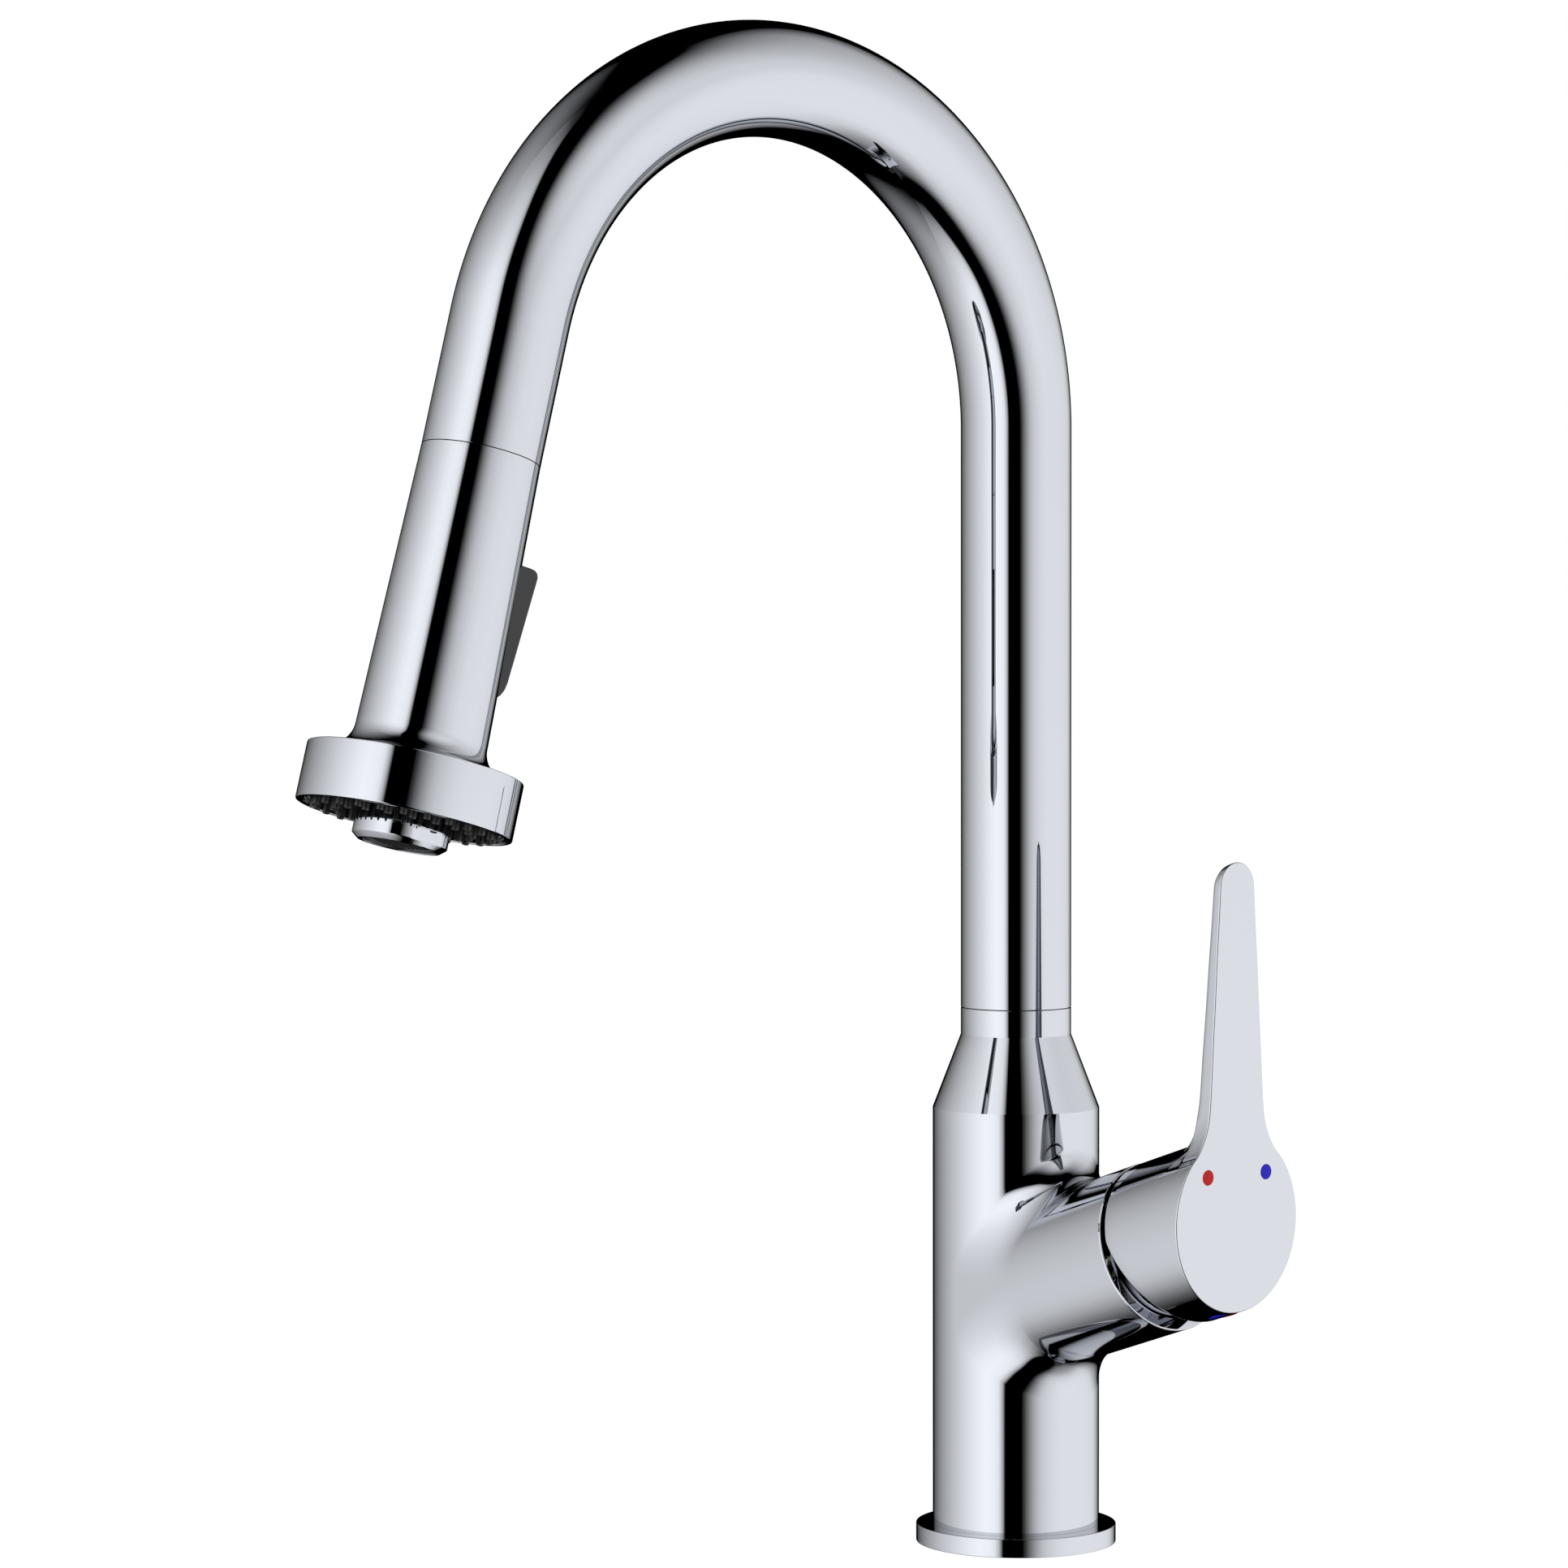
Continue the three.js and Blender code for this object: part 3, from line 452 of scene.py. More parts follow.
wall_depth = np.full(total, ROOT_DEPTH)
for index in range(disc_count, total):
    y, z = outline[index]
    if z >= ROOT - 1e-6:
        wall_depth[index] = blade_depth(y, z)
reach_back = np.arange(1, flare_count + 1) / flare_count
wall_depth[disc_count:disc_count + flare_count] = ROOT_DEPTH - BACK_EDGE * reach_back**2
wall_depth[total - flare_count:] = ROOT_DEPTH - BACK_EDGE * reach_back[::-1] ** 2
rows = [[to_world(y, z, 0) for y, z in outline + inward * FACE_INSET]]
for step in range(6):
    turn = step / 5 * math.pi / 2
    inset, depth = FRONT_EDGE * (1 - math.sin(turn)), FRONT_EDGE * (1 - math.cos(turn))
    spot = outline + inward * inset
    rows.append([to_world(y, z, depth) for y, z in spot])
for share in (0.34, 0.67, 1.0):
    rows.append([to_world(y, z, FRONT_EDGE + (wall_depth[i] - FRONT_EDGE) * share)
                 for i, (y, z) in enumerate(outline)])
points = [p for row in rows for p in row]
faces = [tuple(range(total))] + netted(rows)
last_ring = len(points) - total
steps_over = np.array([0.985, 0.96, 0.93, 0.89, 0.8, 0.55, 0.28, 0, -0.28, -0.55, -0.8, -0.89,
                       -0.93, -0.96, -0.985])
first_left = disc_count + flare_count - 1
last_left = disc_count + flare_count + blade_count - 1 + len(tip_turns) // 2 - 1
strips = []
for left in range(first_left, last_left + 1):
    right = total - 1 - (left - disc_count)
    y, z = outline[right]
    inner = [to_world(y * s, z, blade_depth(y * s, z)) for s in steps_over]
    base = len(points)
    points += inner
    strips.append([last_ring + right, *range(base, base + len(inner)), last_ring + left])
for lower, upper in zip(strips, strips[1:]):
    faces += [(lower[i], lower[i + 1], upper[i + 1], upper[i]) for i in range(len(lower) - 1)]
top = strips[-1]
peak = last_ring + last_left + 1
faces += [(top[i], top[i + 1], peak) for i in range(len(top) - 1)]

to_root, from_root = range(disc_count + flare_count), range(total - flare_count, total)
root_line = [abs(outline[first_left][0]) * s for s in steps_over[::-1]]
loop_ids = [*(last_ring + i for i in to_root), *strips[0][-2:0:-1],
            *(last_ring + i for i in from_root)]
loop_spots = np.array([*outline[to_root], *((y, ROOT) for y in root_line), *outline[from_root]])
loop_depths = np.array([*wall_depth[to_root], *(blade_depth(y, ROOT) for y in root_line),
                        *wall_depth[from_root]])


def hub_rim(v):
    """Where the hub's back rim lies behind the face, at height v above the hub's axis."""
    along = HUB_BACK + CUT_SLOPE * max(0.0, CUT_FROM - v)
    return FACE - along * math.cos(RISE) + v * math.sin(RISE)


def laced(first, second):
    """Faces between two closed rings of points, given by their numbers."""
    first_on, second_on = first[1:] + first[:1], second[1:] + second[:1]
    return list(zip(first, first_on, second_on, second))


rest_z = np.where(np.arange(len(loop_spots)) < disc_count, loop_spots[:, 1],
                  hub_edge(loop_spots[:, 0]))
local_up = (rest_z - FACE_MIDDLE) * math.cos(RISE)
ends = np.array([hub_rim(v) for v in local_up])
shares = [0.018, 0.036, 0.055, 0.08, 0.11, 0.145, 0.185, 0.23, 0.28, 0.36, 0.5, 0.66, 0.83, 1.0]
previous = loop_ids
for share in shares:
    depth = loop_depths + (ends - RIM_EDGE - loop_depths) * share
    rise_now = swell(ROOT_DEPTH + depth - loop_depths)
    z_now = rest_z + rise_now * (loop_spots[:, 1] - rest_z)
    base = len(points)
    points += [to_world(y, z, d) for (y, _), z, d in zip(loop_spots, z_now, depth)]
    current = list(range(base, base + len(loop_ids)))
    faces += laced(previous, current)
    previous = current
for radius, further in ((0.995, -0.12), (0.982, 0.0), (0.9, 0.0), (0.887, -0.3), (0.886, -6.0),
                        (0.886, -9.0), (0.42, -9.0), (0.01, -9.0)):
    base = len(points)
    for (y, _), v, end in zip(loop_spots, local_up, ends):
        points.append(to_world(y * radius, FACE_MIDDLE + v * radius / math.cos(RISE),
                               end + further - (v * (1 - radius)) * math.sin(RISE)))
    current = list(range(base, base + len(loop_ids)))
    faces += laced(previous, current)
    previous = current
stand("lever_handle", points, faces, chrome, "lever", ["handle"], 32)

# ---- Index dots, set screw and its cap ----
# Two enamelled dots let into the handle's face, red for hot and blue for cold, and a small plug
# under the hub, half red and half blue, that covers the set screw.
red = surface("Red enamel", (0.56, 0.007, 0.007), 0.0, 0.3, 0.05, 900, 0.05, 3e-6)
blue = surface("Blue enamel", (0.009, 0.009, 0.54), 0.0, 0.3, 0.05, 900, 0.05, 3e-6)
for enamel in (red, blue):
    shader = enamel.node_tree.nodes["Principled BSDF"]
    shader.inputs["Specular IOR Level"].default_value = 0.15
DOT, DOT_OFF, DOT_HEIGHT, CAP, CAP_SPLIT, CAP_STEPS = 1.9, 10.1, 99.8, 3.6, 0.12, 25
outwards = np.array([[0, 0, 1, 0], [0, 1, 0, 0], [-1, 0, 0, 0], [0, 0, 0, 1.0]])
for name, side, material, slot in (("hot_mark", -1, red, "red_enamel"),
                                   ("cold_mark", 1, blue, "blue_enamel")):
    spot = outwards.copy()
    spot[:3, 3] = (FACE, side * DOT_OFF, DOT_HEIGHT)
    points, faces = spun(eased([(0, -0.8), (DOT, -0.8), (DOT, 0.05), (0, 0.05)], 0.06), 48, spot)
    stand(name, points, faces, material, "lever", [name.replace("mark", "dot")])
under = branch @ np.array([[0, 0, 1, 18.7], [0, 1, 0, 0], [-1, 0, 0, 70], [0, 0, 0, 1.0]])
for name, side, material, slot in (("cap_hot", 1, red, "red_enamel"),
                                   ("cap_cold", -1, blue, "blue_enamel")):
    turns = np.linspace(0.045, np.pi - 0.045, CAP_STEPS) * side
    rows = [hoop(radius, height, turns) + [0, CAP_SPLIT * side, 0]
            for radius, height in ((0.05, 0.1), (CAP, 0.1), (CAP, 1.9), (CAP - 0.15, 2.15),
                                   (CAP - 0.5, 2.25), (0.05, 2.28))]
    points = placed(np.concatenate(rows), under)
    flats = [tuple(row * CAP_STEPS + end for row in range(len(rows))) for end in (0, CAP_STEPS - 1)]
    stand(name, points, netted(rows, across_wraps=False) + flats, material, "lever",
          ["screw_" + name])
finish_of(plain_steel, "handle_set_screw")

# ---- Spout ----
# A 28 mm brass tube bent into a high arch and chromed. It turns on the body's spigot on two acetal
# bushes and an O-ring, and its far end leans back towards the body.
TUBE, BORE, TUBE_FOOT, LEG = 14.0, 12.5, 136.26, 32.7
RISER_TOP, ARCH, SWEEP = 282.44, 82.54, math.radians(164.85)
arch_end = np.array([0, -ARCH + ARCH * math.cos(SWEEP), RISER_TOP + ARCH * math.sin(SWEEP)])
down = np.array([0, -math.sin(SWEEP), math.cos(SWEEP)])


def spout_line(run):
    """Centre and direction of the spout, run millimetres past the riser's top."""
    if run <= 0:
        return np.array([0, 0, RISER_TOP + run]), np.array([0, 0, 1.0])
    turn = min(run / ARCH, SWEEP)
    past = max(0.0, run - ARCH * SWEEP)
    ahead = np.array([0, -math.sin(turn), math.cos(turn)])
    centre = np.array([0, ARCH * (math.cos(turn) - 1), RISER_TOP + ARCH * math.sin(turn)])
    return centre + past * ahead, ahead


def hooped(stations, sides=96):
    """Rings of points about the spout's line, for each (run, radius)."""
    turns = np.linspace(0, 2 * np.pi, sides, endpoint=False)
    rows = []
    for run, radius in stations:
        centre, ahead = spout_line(run)
        side = np.array([1.0, 0, 0])
        other = np.cross(ahead, side)
        rows.append([centre + radius * (math.cos(t) * side + math.sin(t) * other) for t in turns])
    return rows


arch_run = ARCH * SWEEP
tube_foot, tube_end = TUBE_FOOT - RISER_TOP, arch_run + LEG
bends = np.linspace(0, arch_run, 140)
stations = [(tube_foot, TUBE - 0.12), (tube_foot + 0.03, TUBE - 0.03), (tube_foot + 0.12, TUBE)]
stations += [(run, TUBE) for run in np.linspace(tube_foot + 4, -2, 12)]
stations += [(run, TUBE) for run in bends]
stations += [(run, TUBE) for run in np.linspace(arch_run + 2, tube_end - 0.12, 6)]
stations += [(tube_end - 0.03, TUBE - 0.03), (tube_end, TUBE - 0.12), (tube_end, BORE + 0.3),
             (tube_end - 0.3, BORE)]
stations += [(run, BORE) for run in np.linspace(tube_end - 4, arch_run + 1, 4)]
stations += [(run, BORE) for run in bends[::-4]]
stations += [(run, BORE) for run in np.linspace(-2, tube_foot, 4)]
rows = hooped(stations, 112)
stand("spout", np.concatenate(rows), netted(rows, along_wraps=True), chrome, "spout",
      ["spout_tube"])
finish_of(acetal, "lower_swivel_bush", "upper_swivel_bush")

# ---- Docking collar and spray hose ----
# A moulded collar in the tube's end centres the wand. The braided hose runs from below the deck up
# through the body and the arch to the wand, and slides out when the wand is pulled.
wand = np.eye(4)
wand[:3, 1] = (0, math.cos(SWEEP), math.sin(SWEEP))
wand[:3, 2], wand[:3, 3] = down, arch_end
points, faces = spun(eased([(10.4, 12), (12.2, 12), (12.2, 31.5), (11.6, 32.3), (10.9, 32.3),
                            (10.4, 31)], 0.3), 96, wand)
stand("docking_ring", points, faces, black_plastic, "spout", ["docking_collar"])

weave = bpy.data.node_groups.new("Braid", "ShaderNodeTree")
weave.interface.new_socket("Strands", in_out="INPUT", socket_type="NodeSocketFloat")
weave.interface.new_socket("Pitch", in_out="INPUT", socket_type="NodeSocketFloat")
weave.interface.new_socket("Height", in_out="OUTPUT", socket_type="NodeSocketFloat")
weave.interface.new_socket("Tracer", in_out="OUTPUT", socket_type="NodeSocketFloat")
given, made = weave.nodes.new("NodeGroupInput"), weave.nodes.new("NodeGroupOutput")
lay = weave.nodes.new("ShaderNodeUVMap")
parts = weave.nodes.new("ShaderNodeSeparateXYZ")
weave.links.new(lay.outputs[0], parts.inputs[0])


def reckon(tree, operation, first, second=None):
    """One sum in a node tree; each term is a number or another node's output."""
    node = tree.nodes.new("ShaderNodeMath")
    node.operation = operation
    for socket, term in zip(node.inputs, (first, second)):
        if isinstance(term, (int, float)):
            socket.default_value = term
        elif term is not None:
            tree.links.new(term, socket)
    return node.outputs[0]


around = reckon(weave, "MULTIPLY", parts.outputs[0], given.outputs["Strands"])
advance = reckon(weave, "MULTIPLY", parts.outputs[1], given.outputs["Pitch"])
lays = []
for operation in ("ADD", "SUBTRACT"):
    wave = reckon(weave, "SINE", reckon(weave, "MULTIPLY",
                                        reckon(weave, operation, around, advance), 2 * math.pi))
    lays.append(reckon(weave, "ABSOLUTE", wave))
weave.links.new(reckon(weave, "MAXIMUM", *lays), made.inputs["Height"])
weave.links.new(reckon(weave, "GREATER_THAN", reckon(weave, "SINE", reckon(
    weave, "MULTIPLY", reckon(weave, "ADD", around, advance), math.pi / 4)), 0.96),
    made.inputs["Tracer"])
braid = bpy.data.materials.new("Grey nylon braid")
braid.use_nodes = True
tree = braid.node_tree
shader = tree.nodes["Principled BSDF"]
shader.inputs["Roughness"].default_value = 0.5
plait = tree.nodes.new("ShaderNodeGroup")
plait.node_tree = weave
plait.inputs["Strands"].default_value = 8
plait.inputs["Pitch"].default_value = 180
shades = tree.nodes.new("ShaderNodeMix")
shades.data_type = "RGBA"
shades.inputs["A"].default_value = (0.016, 0.017, 0.019, 1)
shades.inputs["B"].default_value = (0.098, 0.101, 0.107, 1)
tree.links.new(plait.outputs["Height"], shades.inputs["Factor"])
flecks = tree.nodes.new("ShaderNodeMix")
flecks.data_type = "RGBA"
flecks.inputs["B"].default_value = (0.128, 0.131, 0.137, 1)
tree.links.new(plait.outputs["Tracer"], flecks.inputs["Factor"])
tree.links.new(shades.outputs["Result"], flecks.inputs["A"])
tree.links.new(flecks.outputs["Result"], shader.inputs["Base Color"])
knots = tree.nodes.new("ShaderNodeBump")
knots.inputs["Distance"].default_value = 0.0004
tree.links.new(plait.outputs["Height"], knots.inputs["Height"])
tree.links.new(knots.outputs["Normal"], shader.inputs["Normal"])

HOSE, PULL, DRAW_FROM, DRAW_TO, HOSE_FOOT, HOSE_IN_WAND = 5.4, 160.0, 2.0, 13.0, -62.0, 24.0
JOIN, hose_sides = arch_run + 1.5, 28


def hose_length(name, runs):
    """One length of the hose; its lay runs on evenly where the pulled wand draws it out."""
    rows = hooped([(run, HOSE) for run in runs], hose_sides)
    walls = netted(rows)
    last = len(rows) * hose_sides
    ends = [tuple(range(hose_sides))[::-1], tuple(range(last - hose_sides, last))]
    mesh = bpy.data.meshes.new(name)
    mesh.from_pydata((np.concatenate(rows) / 1000).tolist(), [], walls + ends)
    flat = mesh.uv_layers.new(name="lay")
    for number, face in enumerate(mesh.polygons[:len(walls)]):
        row, column = divmod(number, hose_sides)
        for corner, loop in enumerate(face.loop_indices):
            run = runs[row + (1 if corner in (2, 3) else 0)]
            drawn = min(1.0, max(0.0, (run - arch_run - DRAW_FROM) / (DRAW_TO - DRAW_FROM)))
            length = run + PULL * drawn**2 * (3 - 2 * drawn)
            flat.data[loop].uv = ((column + (1 if corner in (1, 2) else 0)) / hose_sides,
                                  length / 1000)
    mesh.shade_smooth()
    mesh.materials.append(braid)
    thing = bpy.data.objects.new(name, mesh)
    bpy.context.scene.collection.objects.link(thing)
    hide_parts("spray_hose")
    return thing


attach(hose_length("hose_in_spout", [
    *np.linspace(HOSE_FOOT - RISER_TOP, 0, 120)[:-1], *np.linspace(0, arch_run, 140)[:-1],
    *np.linspace(arch_run, JOIN, 3)]), "spout")
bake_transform(hose_length("hose_to_wand", [
    *np.linspace(JOIN, arch_run + DRAW_FROM, 3)[:-1],
    *np.linspace(arch_run + DRAW_FROM, arch_run + DRAW_TO, 90)[:-1],
    *np.linspace(arch_run + DRAW_TO, arch_run + HOSE_IN_WAND, 8)]))
points, faces = hexagonal(-78.3, -62.3, 7.5, 0, 0.7, 72)
fitting = stand("hose_fitting", points, faces, brass, "spout", ["hose_end_fitting"], 22)
fitting.visible_glossy = False

# ---- Wand shell ----
# A chromed sleeve that widens slightly, flares into the flat spray head and ends in a crisp rim. A
# window on the side that faces the body lets the rocker through.
SLEEVE_TOP, TAPER_FROM, FLARE_START, FILLET = 32.86, 33.4, 15.4, 6.3
HEAD_TOP, HEAD_RIM, HEAD, HEAD_FLOOR = 105.66, 119.27, 25.25, 107.2
WINDOW, WINDOW_TOP, WINDOW_FOOT, WINDOW_DEPTH = 6.9, 54.0, 87.9, 12.9
sweep = [(FLARE_START + FILLET + FILLET * math.cos(a), HEAD_TOP - FILLET + FILLET * math.sin(a))
         for a in np.linspace(np.pi, np.pi / 2, 15)]
outline = [(12.3, SLEEVE_TOP), (TUBE - 0.12, SLEEVE_TOP), (TUBE - 0.03, SLEEVE_TOP + 0.03),
           (TUBE, SLEEVE_TOP + 0.12)]
taper = (FLARE_START - TUBE) / (HEAD_TOP - FILLET - TAPER_FROM)
outline += [(TUBE + (s - TAPER_FROM) * taper, s)
            for s in (37, 43, 48.5, WINDOW_TOP, 62, 71, 80, WINDOW_FOOT, 93.5)]
outline += [*sweep, (23.4, HEAD_TOP), (HEAD - 0.4, HEAD_TOP), (HEAD - 0.12, HEAD_TOP + 0.12),
            (HEAD, HEAD_TOP + 0.4), (HEAD, 112.5), (HEAD, HEAD_RIM - 0.4),
            (HEAD - 0.12, HEAD_RIM - 0.12), (HEAD - 0.4, HEAD_RIM), (24.1, HEAD_RIM),
            (23.85, HEAD_RIM - 0.25), (23.8, HEAD_FLOOR), (18, HEAD_FLOOR), (15, 103), (13.7, 98),
            (WINDOW_DEPTH, WINDOW_FOOT), (WINDOW_DEPTH, WINDOW_TOP)]
inside_columns, outside_columns = 16, 128
rows = []
for radius, s in outline:
    half_turn = math.asin(min(1.0, WINDOW / radius))
    turns = np.concatenate([
        np.linspace(-half_turn, half_turn, inside_columns + 1)[:-1],
        np.linspace(half_turn, 2 * np.pi - half_turn, outside_columns + 1)[:-1]]) - np.pi / 2
    rows.append([(radius * math.cos(t), radius * math.sin(t), s) for t in turns])
columns = inside_columns + outside_columns
top_row = next(i for i, (_, s) in enumerate(outline) if s == WINDOW_TOP)
foot_row = next(i for i, (_, s) in enumerate(outline) if s == WINDOW_FOOT)
inner_foot, inner_top = len(rows) - 2, len(rows) - 1
open_rows = {*range(top_row, foot_row), inner_foot}
faces = []
for number, face in enumerate(netted(rows, along_wraps=True)):
    row, column = divmod(number, columns)
    if not (row in open_rows and column < inside_columns):
        faces.append(face)
points = [p for row in rows for p in row]
for outer, inner in ((top_row, inner_top), (foot_row, inner_foot)):
    for column in range(inside_columns):
        faces.append((outer * columns + column, outer * columns + column + 1,
                      inner * columns + column + 1, inner * columns + column))
for column in (0, inside_columns):
    cheek = [row * columns + column for row in range(top_row, foot_row + 1)]
    faces.append((*cheek, inner_foot * columns + column, inner_top * columns + column))
stand("wand_sleeve", placed(points, wand), faces, chrome, "wand", ["wand_shell"], 25)

# ---- Inside the wand ----
# The neck that docks in the tube, the hose's crimped ferrule and swivel nut, the acetal core with
# its check valve, and the brass plunger that switches from stream to spray.
points, faces = spun(
    eased([(8.4, 16), (9.4, 16), (10, 17.2), (10, 21.2), (9.7, 21.4), (9.7, 22.6), (10, 22.8),
           (10, 33.4), (12, 33.4), (12, 40), (8.4, 40)], 0.2), 96, wand)
stand("docking_neck", points, faces, black_plastic, "wand", ["dock_neck"])
points, faces = spun(
    eased([(5.8, 14), (6.6, 14), (7, 14.6), (7, 15.8), (6.7, 16.2), (6.7, 17), (7, 17.4), (7, 18.6),
           (6.7, 19), (6.7, 19.8), (7, 20.2), (7, 24), (5.8, 24)], 0.12), 64, wand)
stand("ferrule", points, faces, plain_steel, "wand", ["hose_ferrule"])
points, faces = hexagonal(25.3, 37.3, 7.6, 0, 0.7, 72, wand)
stem_points, stem_faces = spun(eased([(0, 37.2), (5.3, 37.2), (5.3, 46.5), (0, 46.5)], 0.3), 48, wand)
faces += [tuple(i + len(points) for i in face) for face in stem_faces]
stand("swivel_nut", np.concatenate([points, stem_points]), faces, brass, "wand",
      ["hose_connector"], 22)
finish_of(acetal, "wand_core", "check_valve", "head_body")
finish_of(plain_steel, "toggle_pin")
finish_of(brass, "diverter_plunger")

# ---- Rocker button ----
# A dark grey satin moulding, wedge-shaped, that stands out of the sleeve's window and rocks on a
# steel pin. Its edges are well rounded.
dark_grey = surface("Dark grey plastic", (0.0112, 0.0117, 0.0134), 0.0, 0.46, 0.08, 1800, 0.1, 6e-6)
ROCKER = 6.5
profile = [(55.2, -9.0), (55.2, -16.3), (55.35, -17.5), (55.9, -18.3), (56.8, -18.65),
           (57.8, -18.6), (66, -17.85), (74.5, -17.1), (82.6, -16.35), (84.4, -15.9),
           (85.9, -15.0), (86.9, -13.7), (87.2, -12.4), (87.2, -9.0), (73.6, -9.0), (73, -7.0),
           (69, -7.0), (68.4, -9.0)]
rows = [[(x, y, s) for s, y in profile] for x in (-ROCKER, ROCKER)]
points = placed([p for row in rows for p in row], wand)
size = len(profile)
faces = netted(rows) + [tuple(range(size)), tuple(range(size, 2 * size))]
button = stand("rocker", points, faces, dark_grey, "toggle",
               ["toggle_button"], 40)
round_off = button.modifiers.new("rounded edges", "BEVEL")
round_off.width, round_off.segments = 0.0005, 4
round_off.limit_method, round_off.angle_limit = "ANGLE", math.radians(50)
round_off.harden_normals = True
button.modifiers.move(1, 0)

# ---- Spray face ----
# A soft dark silicone mat with two rings of nozzle stubs, backed by a plastic plate. The stubs stand
# just proud of the rim so that lime can be rubbed off them.
silicone = surface("Dark silicone", (0.008, 0.008, 0.009), 0.0, 0.36, 0.08, 1500, 0.15, 5e-6)
points, faces = spun(
    eased([(12.3, 113.9), (23.4, 113.9), (23.4, 116), (22.9, 116), (22.4, 115.6), (19.1, 115.6),
           (18.6, 116), (18.0, 115.6), (14.2, 115.6), (13.6, 116), (12.3, 116)], 0.2), 128, wand)
points = list(points)
for ring_radius, count in ((16.2, 18), (20.8, 24)):
    for number in range(count):
        turn = 2 * math.pi * (number + 0.5) / count
        stub, stub_faces = spun(
            [(0, 115), (1.25, 115), (1.25, 115.9), (1.1, 116.2), (0.88, 119.8), (0.74, 120.15),
             (0.55, 120.2), (0.42, 120.0), (0.38, 118.6), (0, 118.6)], 14)
        stub = stub + [ring_radius * math.cos(turn), ring_radius * math.sin(turn), 0]
        faces += [tuple(i + len(points) for i in face) for face in stub_faces]
        points += list(placed(stub, wand))
stand("nozzles", points, faces, silicone, "wand", ["nozzle_mat"], 40)
finish_of(dark_grey, "face_plate")

# ---- Aerator ----
# A chromed threaded housing with two wrench flats stands out of the middle of the face. Inside it,
# set back a little, is a black insert with a grid of fine holes.
AERATOR, FLATS, FLATS_FROM = 11.1, 10.3, 121.0
HOLE_PITCH, ROW_PITCH, GRID = 1.55, 1.34, 6.6
turns = np.linspace(0, 2 * np.pi, 144, endpoint=False)
flat_reach = FLATS / np.maximum(np.abs(np.cos(turns)), 1e-3)
rows = []
for radius, s in ((8.8, 112.8), (AERATOR, 112.8), (AERATOR, 116), (AERATOR, 119),
                  (AERATOR, FLATS_FROM - 0.02), (AERATOR, FLATS_FROM), (AERATOR, 122.4),
                  (AERATOR, 123.9), (11.0, 124.1), (9.75, 125.1), (9.6, 125.2), (8.95, 125.2),
                  (8.8, 125.05)):
    rows.append(hoop(np.minimum(radius, flat_reach) if s >= FLATS_FROM else radius, s, turns))
stand("aerator", placed(np.concatenate(rows), wand), netted(rows, along_wraps=True), chrome, "wand",
      ["aerator_housing"], 25)
points, faces = spun(eased([(0, 113.3), (8.5, 113.3), (8.5, 124.7), (7.7, 124.7), (7.4, 124.2),
                            (0, 124.2)], 0.2), 96, wand)
points = list(points)
for across_grid in range(-4, 5):
    for row in range(-4, 5):
        cx, cy = (across_grid + (row % 2) / 2) * HOLE_PITCH, row * ROW_PITCH
        if math.hypot(cx, cy) > GRID:
            continue
        cell, cell_faces = spun([(0.42, 124.1), (0.68, 124.1), (0.68, 124.62), (0.6, 124.68),
                                 (0.48, 124.68), (0.42, 124.62)], 12)
        faces += [tuple(i + len(points) for i in face) for face in cell_faces]
        points += list(placed(cell + [cx, cy, 0], wand))
stand("aerator_grid", points, faces, black_plastic, "wand", ["aerator_insert"], 40)

# ---- Floor ----
# A plain white deck with the 35 mm hole that the shank passes through. It gives off its own even
# white, and isn't mirrored in the chrome.
deck = bpy.data.materials.new("White deck")
deck.use_nodes = True
shader = deck.node_tree.nodes["Principled BSDF"]
shader.inputs["Base Color"].default_value = (0.12, 0.12, 0.12, 1)
shader.inputs["Roughness"].default_value = 0.9
shader.inputs["Specular IOR Level"].default_value = 0.0
shader.inputs["Emission Color"].default_value = (1, 1, 1, 1)
shader.inputs["Emission Strength"].default_value = 0.965
DECK_HOLE = 17.5
turns = np.linspace(0, 2 * np.pi, 96, endpoint=False)
rows = [hoop(radius, 0, turns) for radius in (DECK_HOLE, 30, 60, 200, 1000, 20000)]
mesh = bpy.data.meshes.new("deck_top")
mesh.from_pydata((np.concatenate(rows) / 1000).tolist(), [], netted(rows))
mesh.materials.append(deck)
floor = bpy.data.objects.new("deck_top", mesh)
floor.visible_glossy = floor.visible_diffuse = False
bpy.context.scene.collection.objects.link(floor)

# ---- Studio light ----
# Two large soft panels, one on each side, with a dark gap in front of the object, a narrow one
# behind it and darkness above and below. Seen directly, the backdrop is plain white.
FACING, PANEL_STRENGTH, CORNERS_FROM, CORNER_CUT = math.radians(46.2), 1.775, 40, 0.02
world = bpy.data.worlds.new("Studio")
bpy.context.scene.world = world
world.use_nodes = True
tree = world.node_tree
background = tree.nodes["Background"]
toward = tree.nodes.new("ShaderNodeTexCoord")
parts = tree.nodes.new("ShaderNodeSeparateXYZ")
tree.links.new(toward.outputs["Generated"], parts.inputs[0])
x, y, z = parts.outputs
front = reckon(tree, "ADD", reckon(tree, "MULTIPLY", x, math.sin(FACING)),
               reckon(tree, "MULTIPLY", y, -math.cos(FACING)))
beside = reckon(tree, "ADD", reckon(tree, "MULTIPLY", x, math.cos(FACING)),
                reckon(tree, "MULTIPLY", y, math.sin(FACING)))
bearing = reckon(tree, "DEGREES", reckon(tree, "ARCTAN2", beside, front))
height = reckon(tree, "DEGREES", reckon(tree, "ARCSINE", z))
spread = reckon(tree, "ABSOLUTE", bearing)
steep = reckon(tree, "MAXIMUM", reckon(tree, "SUBTRACT", reckon(tree, "ABSOLUTE", height),
                                       CORNERS_FROM), 0)
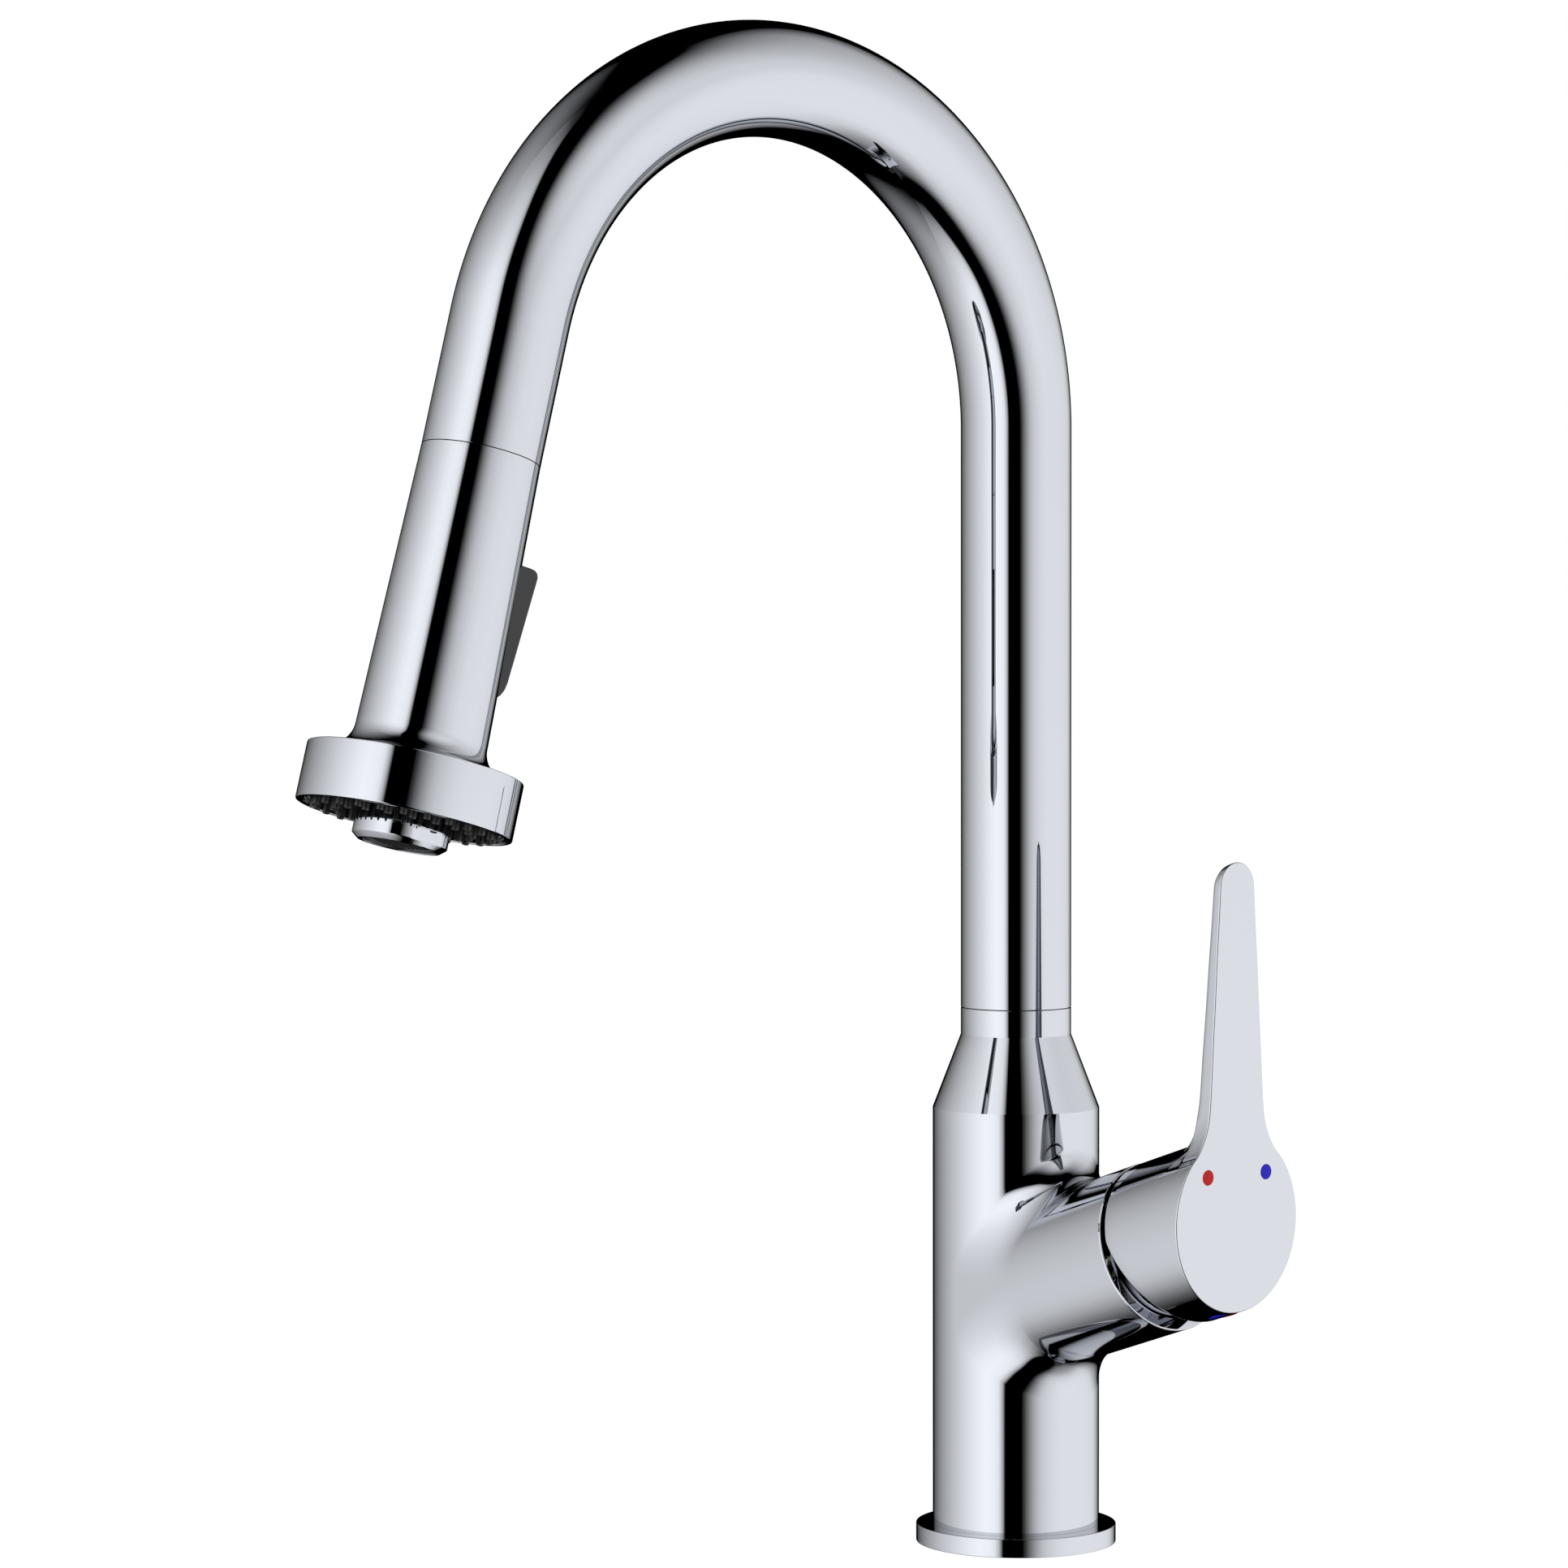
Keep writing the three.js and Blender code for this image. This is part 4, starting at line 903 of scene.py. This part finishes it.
corner = reckon(tree, "MULTIPLY", reckon(tree, "MULTIPLY", steep, steep), CORNER_CUT)
backward = reckon(tree, "SIGN", reckon(tree, "SUBTRACT", spread, 90))
spread = reckon(tree, "ADD", spread, reckon(tree, "MULTIPLY", corner, backward))


def graded(position, low, high, stops):
    """A ramp over a range of degrees; each stop is (degrees, brightness)."""
    share = reckon(tree, "DIVIDE", reckon(tree, "SUBTRACT", position, low), high - low)
    ramp = tree.nodes.new("ShaderNodeValToRGB")
    for index, (degrees, value) in enumerate(stops):
        place_on = (degrees - low) / (high - low)
        elements = ramp.color_ramp.elements
        stop = elements[index] if index < 2 else elements.new(place_on)
        stop.position = place_on
        stop.color = (value, value, value, 1)
    tree.links.new(share, ramp.inputs[0])
    return ramp.outputs[0]


left = reckon(tree, "MULTIPLY", graded(spread, 0, 180, [
    (15, 0.0), (19, 0.48), (24, 0.83), (30, 0.92), (42, 0.96), (54, 0.9), (66, 0.8), (78, 0.7),
    (90, 0.6), (102, 0.5), (114, 0.4), (126, 0.3), (138, 0.19), (146, 0.13), (153, 0.07),
    (160, 0.0)]), graded(height, -90, 90, [
        (-80, 0.0), (-75, 0.12), (-65, 0.47), (-55, 0.74), (-45, 0.9), (-35, 0.98), (-20, 1.0),
        (20, 1.0), (35, 0.9), (45, 0.76), (55, 0.6), (65, 0.34), (75, 0.04), (80, 0.0)]))
right = reckon(tree, "MULTIPLY", graded(spread, 0, 180, [
    (8, 0.0), (12, 0.05), (18, 0.2), (24, 0.37), (30, 0.52), (36, 0.62), (42, 0.67), (48, 0.72),
    (56, 0.76), (66, 0.79), (96, 0.79), (114, 0.76), (126, 0.72), (136, 0.64), (144, 0.45),
    (152, 0.25), (157, 0.12), (161, 0.0)]), graded(height, -90, 90, [
        (-80, 0.05), (-75, 0.25), (-65, 0.48), (-55, 0.84), (-45, 0.97), (-35, 1.0), (-5, 0.99),
        (5, 0.95), (15, 0.86), (25, 0.79), (35, 0.66), (45, 0.53), (55, 0.36), (65, 0.15),
        (72, 0.0)]))
# The right panel is brighter in its upper part towards the front.
overhead_lift = reckon(tree, "MULTIPLY", graded(spread, 0, 180, [(60, 0.33), (92, 0.0)]),
                       graded(height, -90, 90, [(18, 0.0), (36, 1.0), (48, 1.0), (66, 0.0)]))
right = reckon(tree, "MULTIPLY", right, reckon(tree, "ADD", overhead_lift, 1.0))
on_right = reckon(tree, "GREATER_THAN", bearing, 0.0)
panels = reckon(tree, "ADD", reckon(tree, "MULTIPLY", right, on_right),
                reckon(tree, "MULTIPLY", left, reckon(tree, "SUBTRACT", 1.0, on_right)))
panels = reckon(tree, "MULTIPLY", panels, PANEL_STRENGTH)
ray = tree.nodes.new("ShaderNodeLightPath")
seen = ray.outputs["Is Camera Ray"]
strength = reckon(tree, "ADD", seen, reckon(tree, "MULTIPLY", panels,
                                           reckon(tree, "SUBTRACT", 1.0, seen)))
tree.links.new(strength, background.inputs["Strength"])
background.inputs["Color"].default_value = (1, 1, 1, 1)
bpy.context.scene.view_settings.view_transform = "Standard"

# ---- Camera ----
# A long lens 1.3 m away on the handle's side, a little above the middle of the faucet's height. It
# looks slightly down, and to the left of the body.
DISTANCE, AZIMUTH, HEIGHT, LENS, SENSOR = 1.27372, math.radians(46.2215), 0.23693, 115.29, 36
facing, nod, tilt = AZIMUTH + 0.0462, 0.0347, 0.0013
forward = np.array([-math.sin(facing) * math.cos(nod), math.cos(facing) * math.cos(nod),
                    -math.sin(nod)])
right_hand = np.array([math.cos(facing), math.sin(facing), 0])
overhead = np.cross(right_hand, forward)
right_now = right_hand * math.cos(tilt) - overhead * math.sin(tilt)
up_now = right_hand * math.sin(tilt) + overhead * math.cos(tilt)
lens = bpy.data.cameras.new("camera")
lens.sensor_width, lens.lens = SENSOR, LENS
lens.clip_start, lens.clip_end = 0.05, 100
camera = bpy.data.objects.new("camera", lens)
pose = Matrix.Identity(4)
for row in range(3):
    pose[row][0], pose[row][1], pose[row][2] = right_now[row], up_now[row], -forward[row]
pose.translation = math.sin(AZIMUTH) * DISTANCE, -math.cos(AZIMUTH) * DISTANCE, HEIGHT
camera.matrix_world = pose
bpy.context.scene.collection.objects.link(camera)
bpy.context.scene.camera = camera
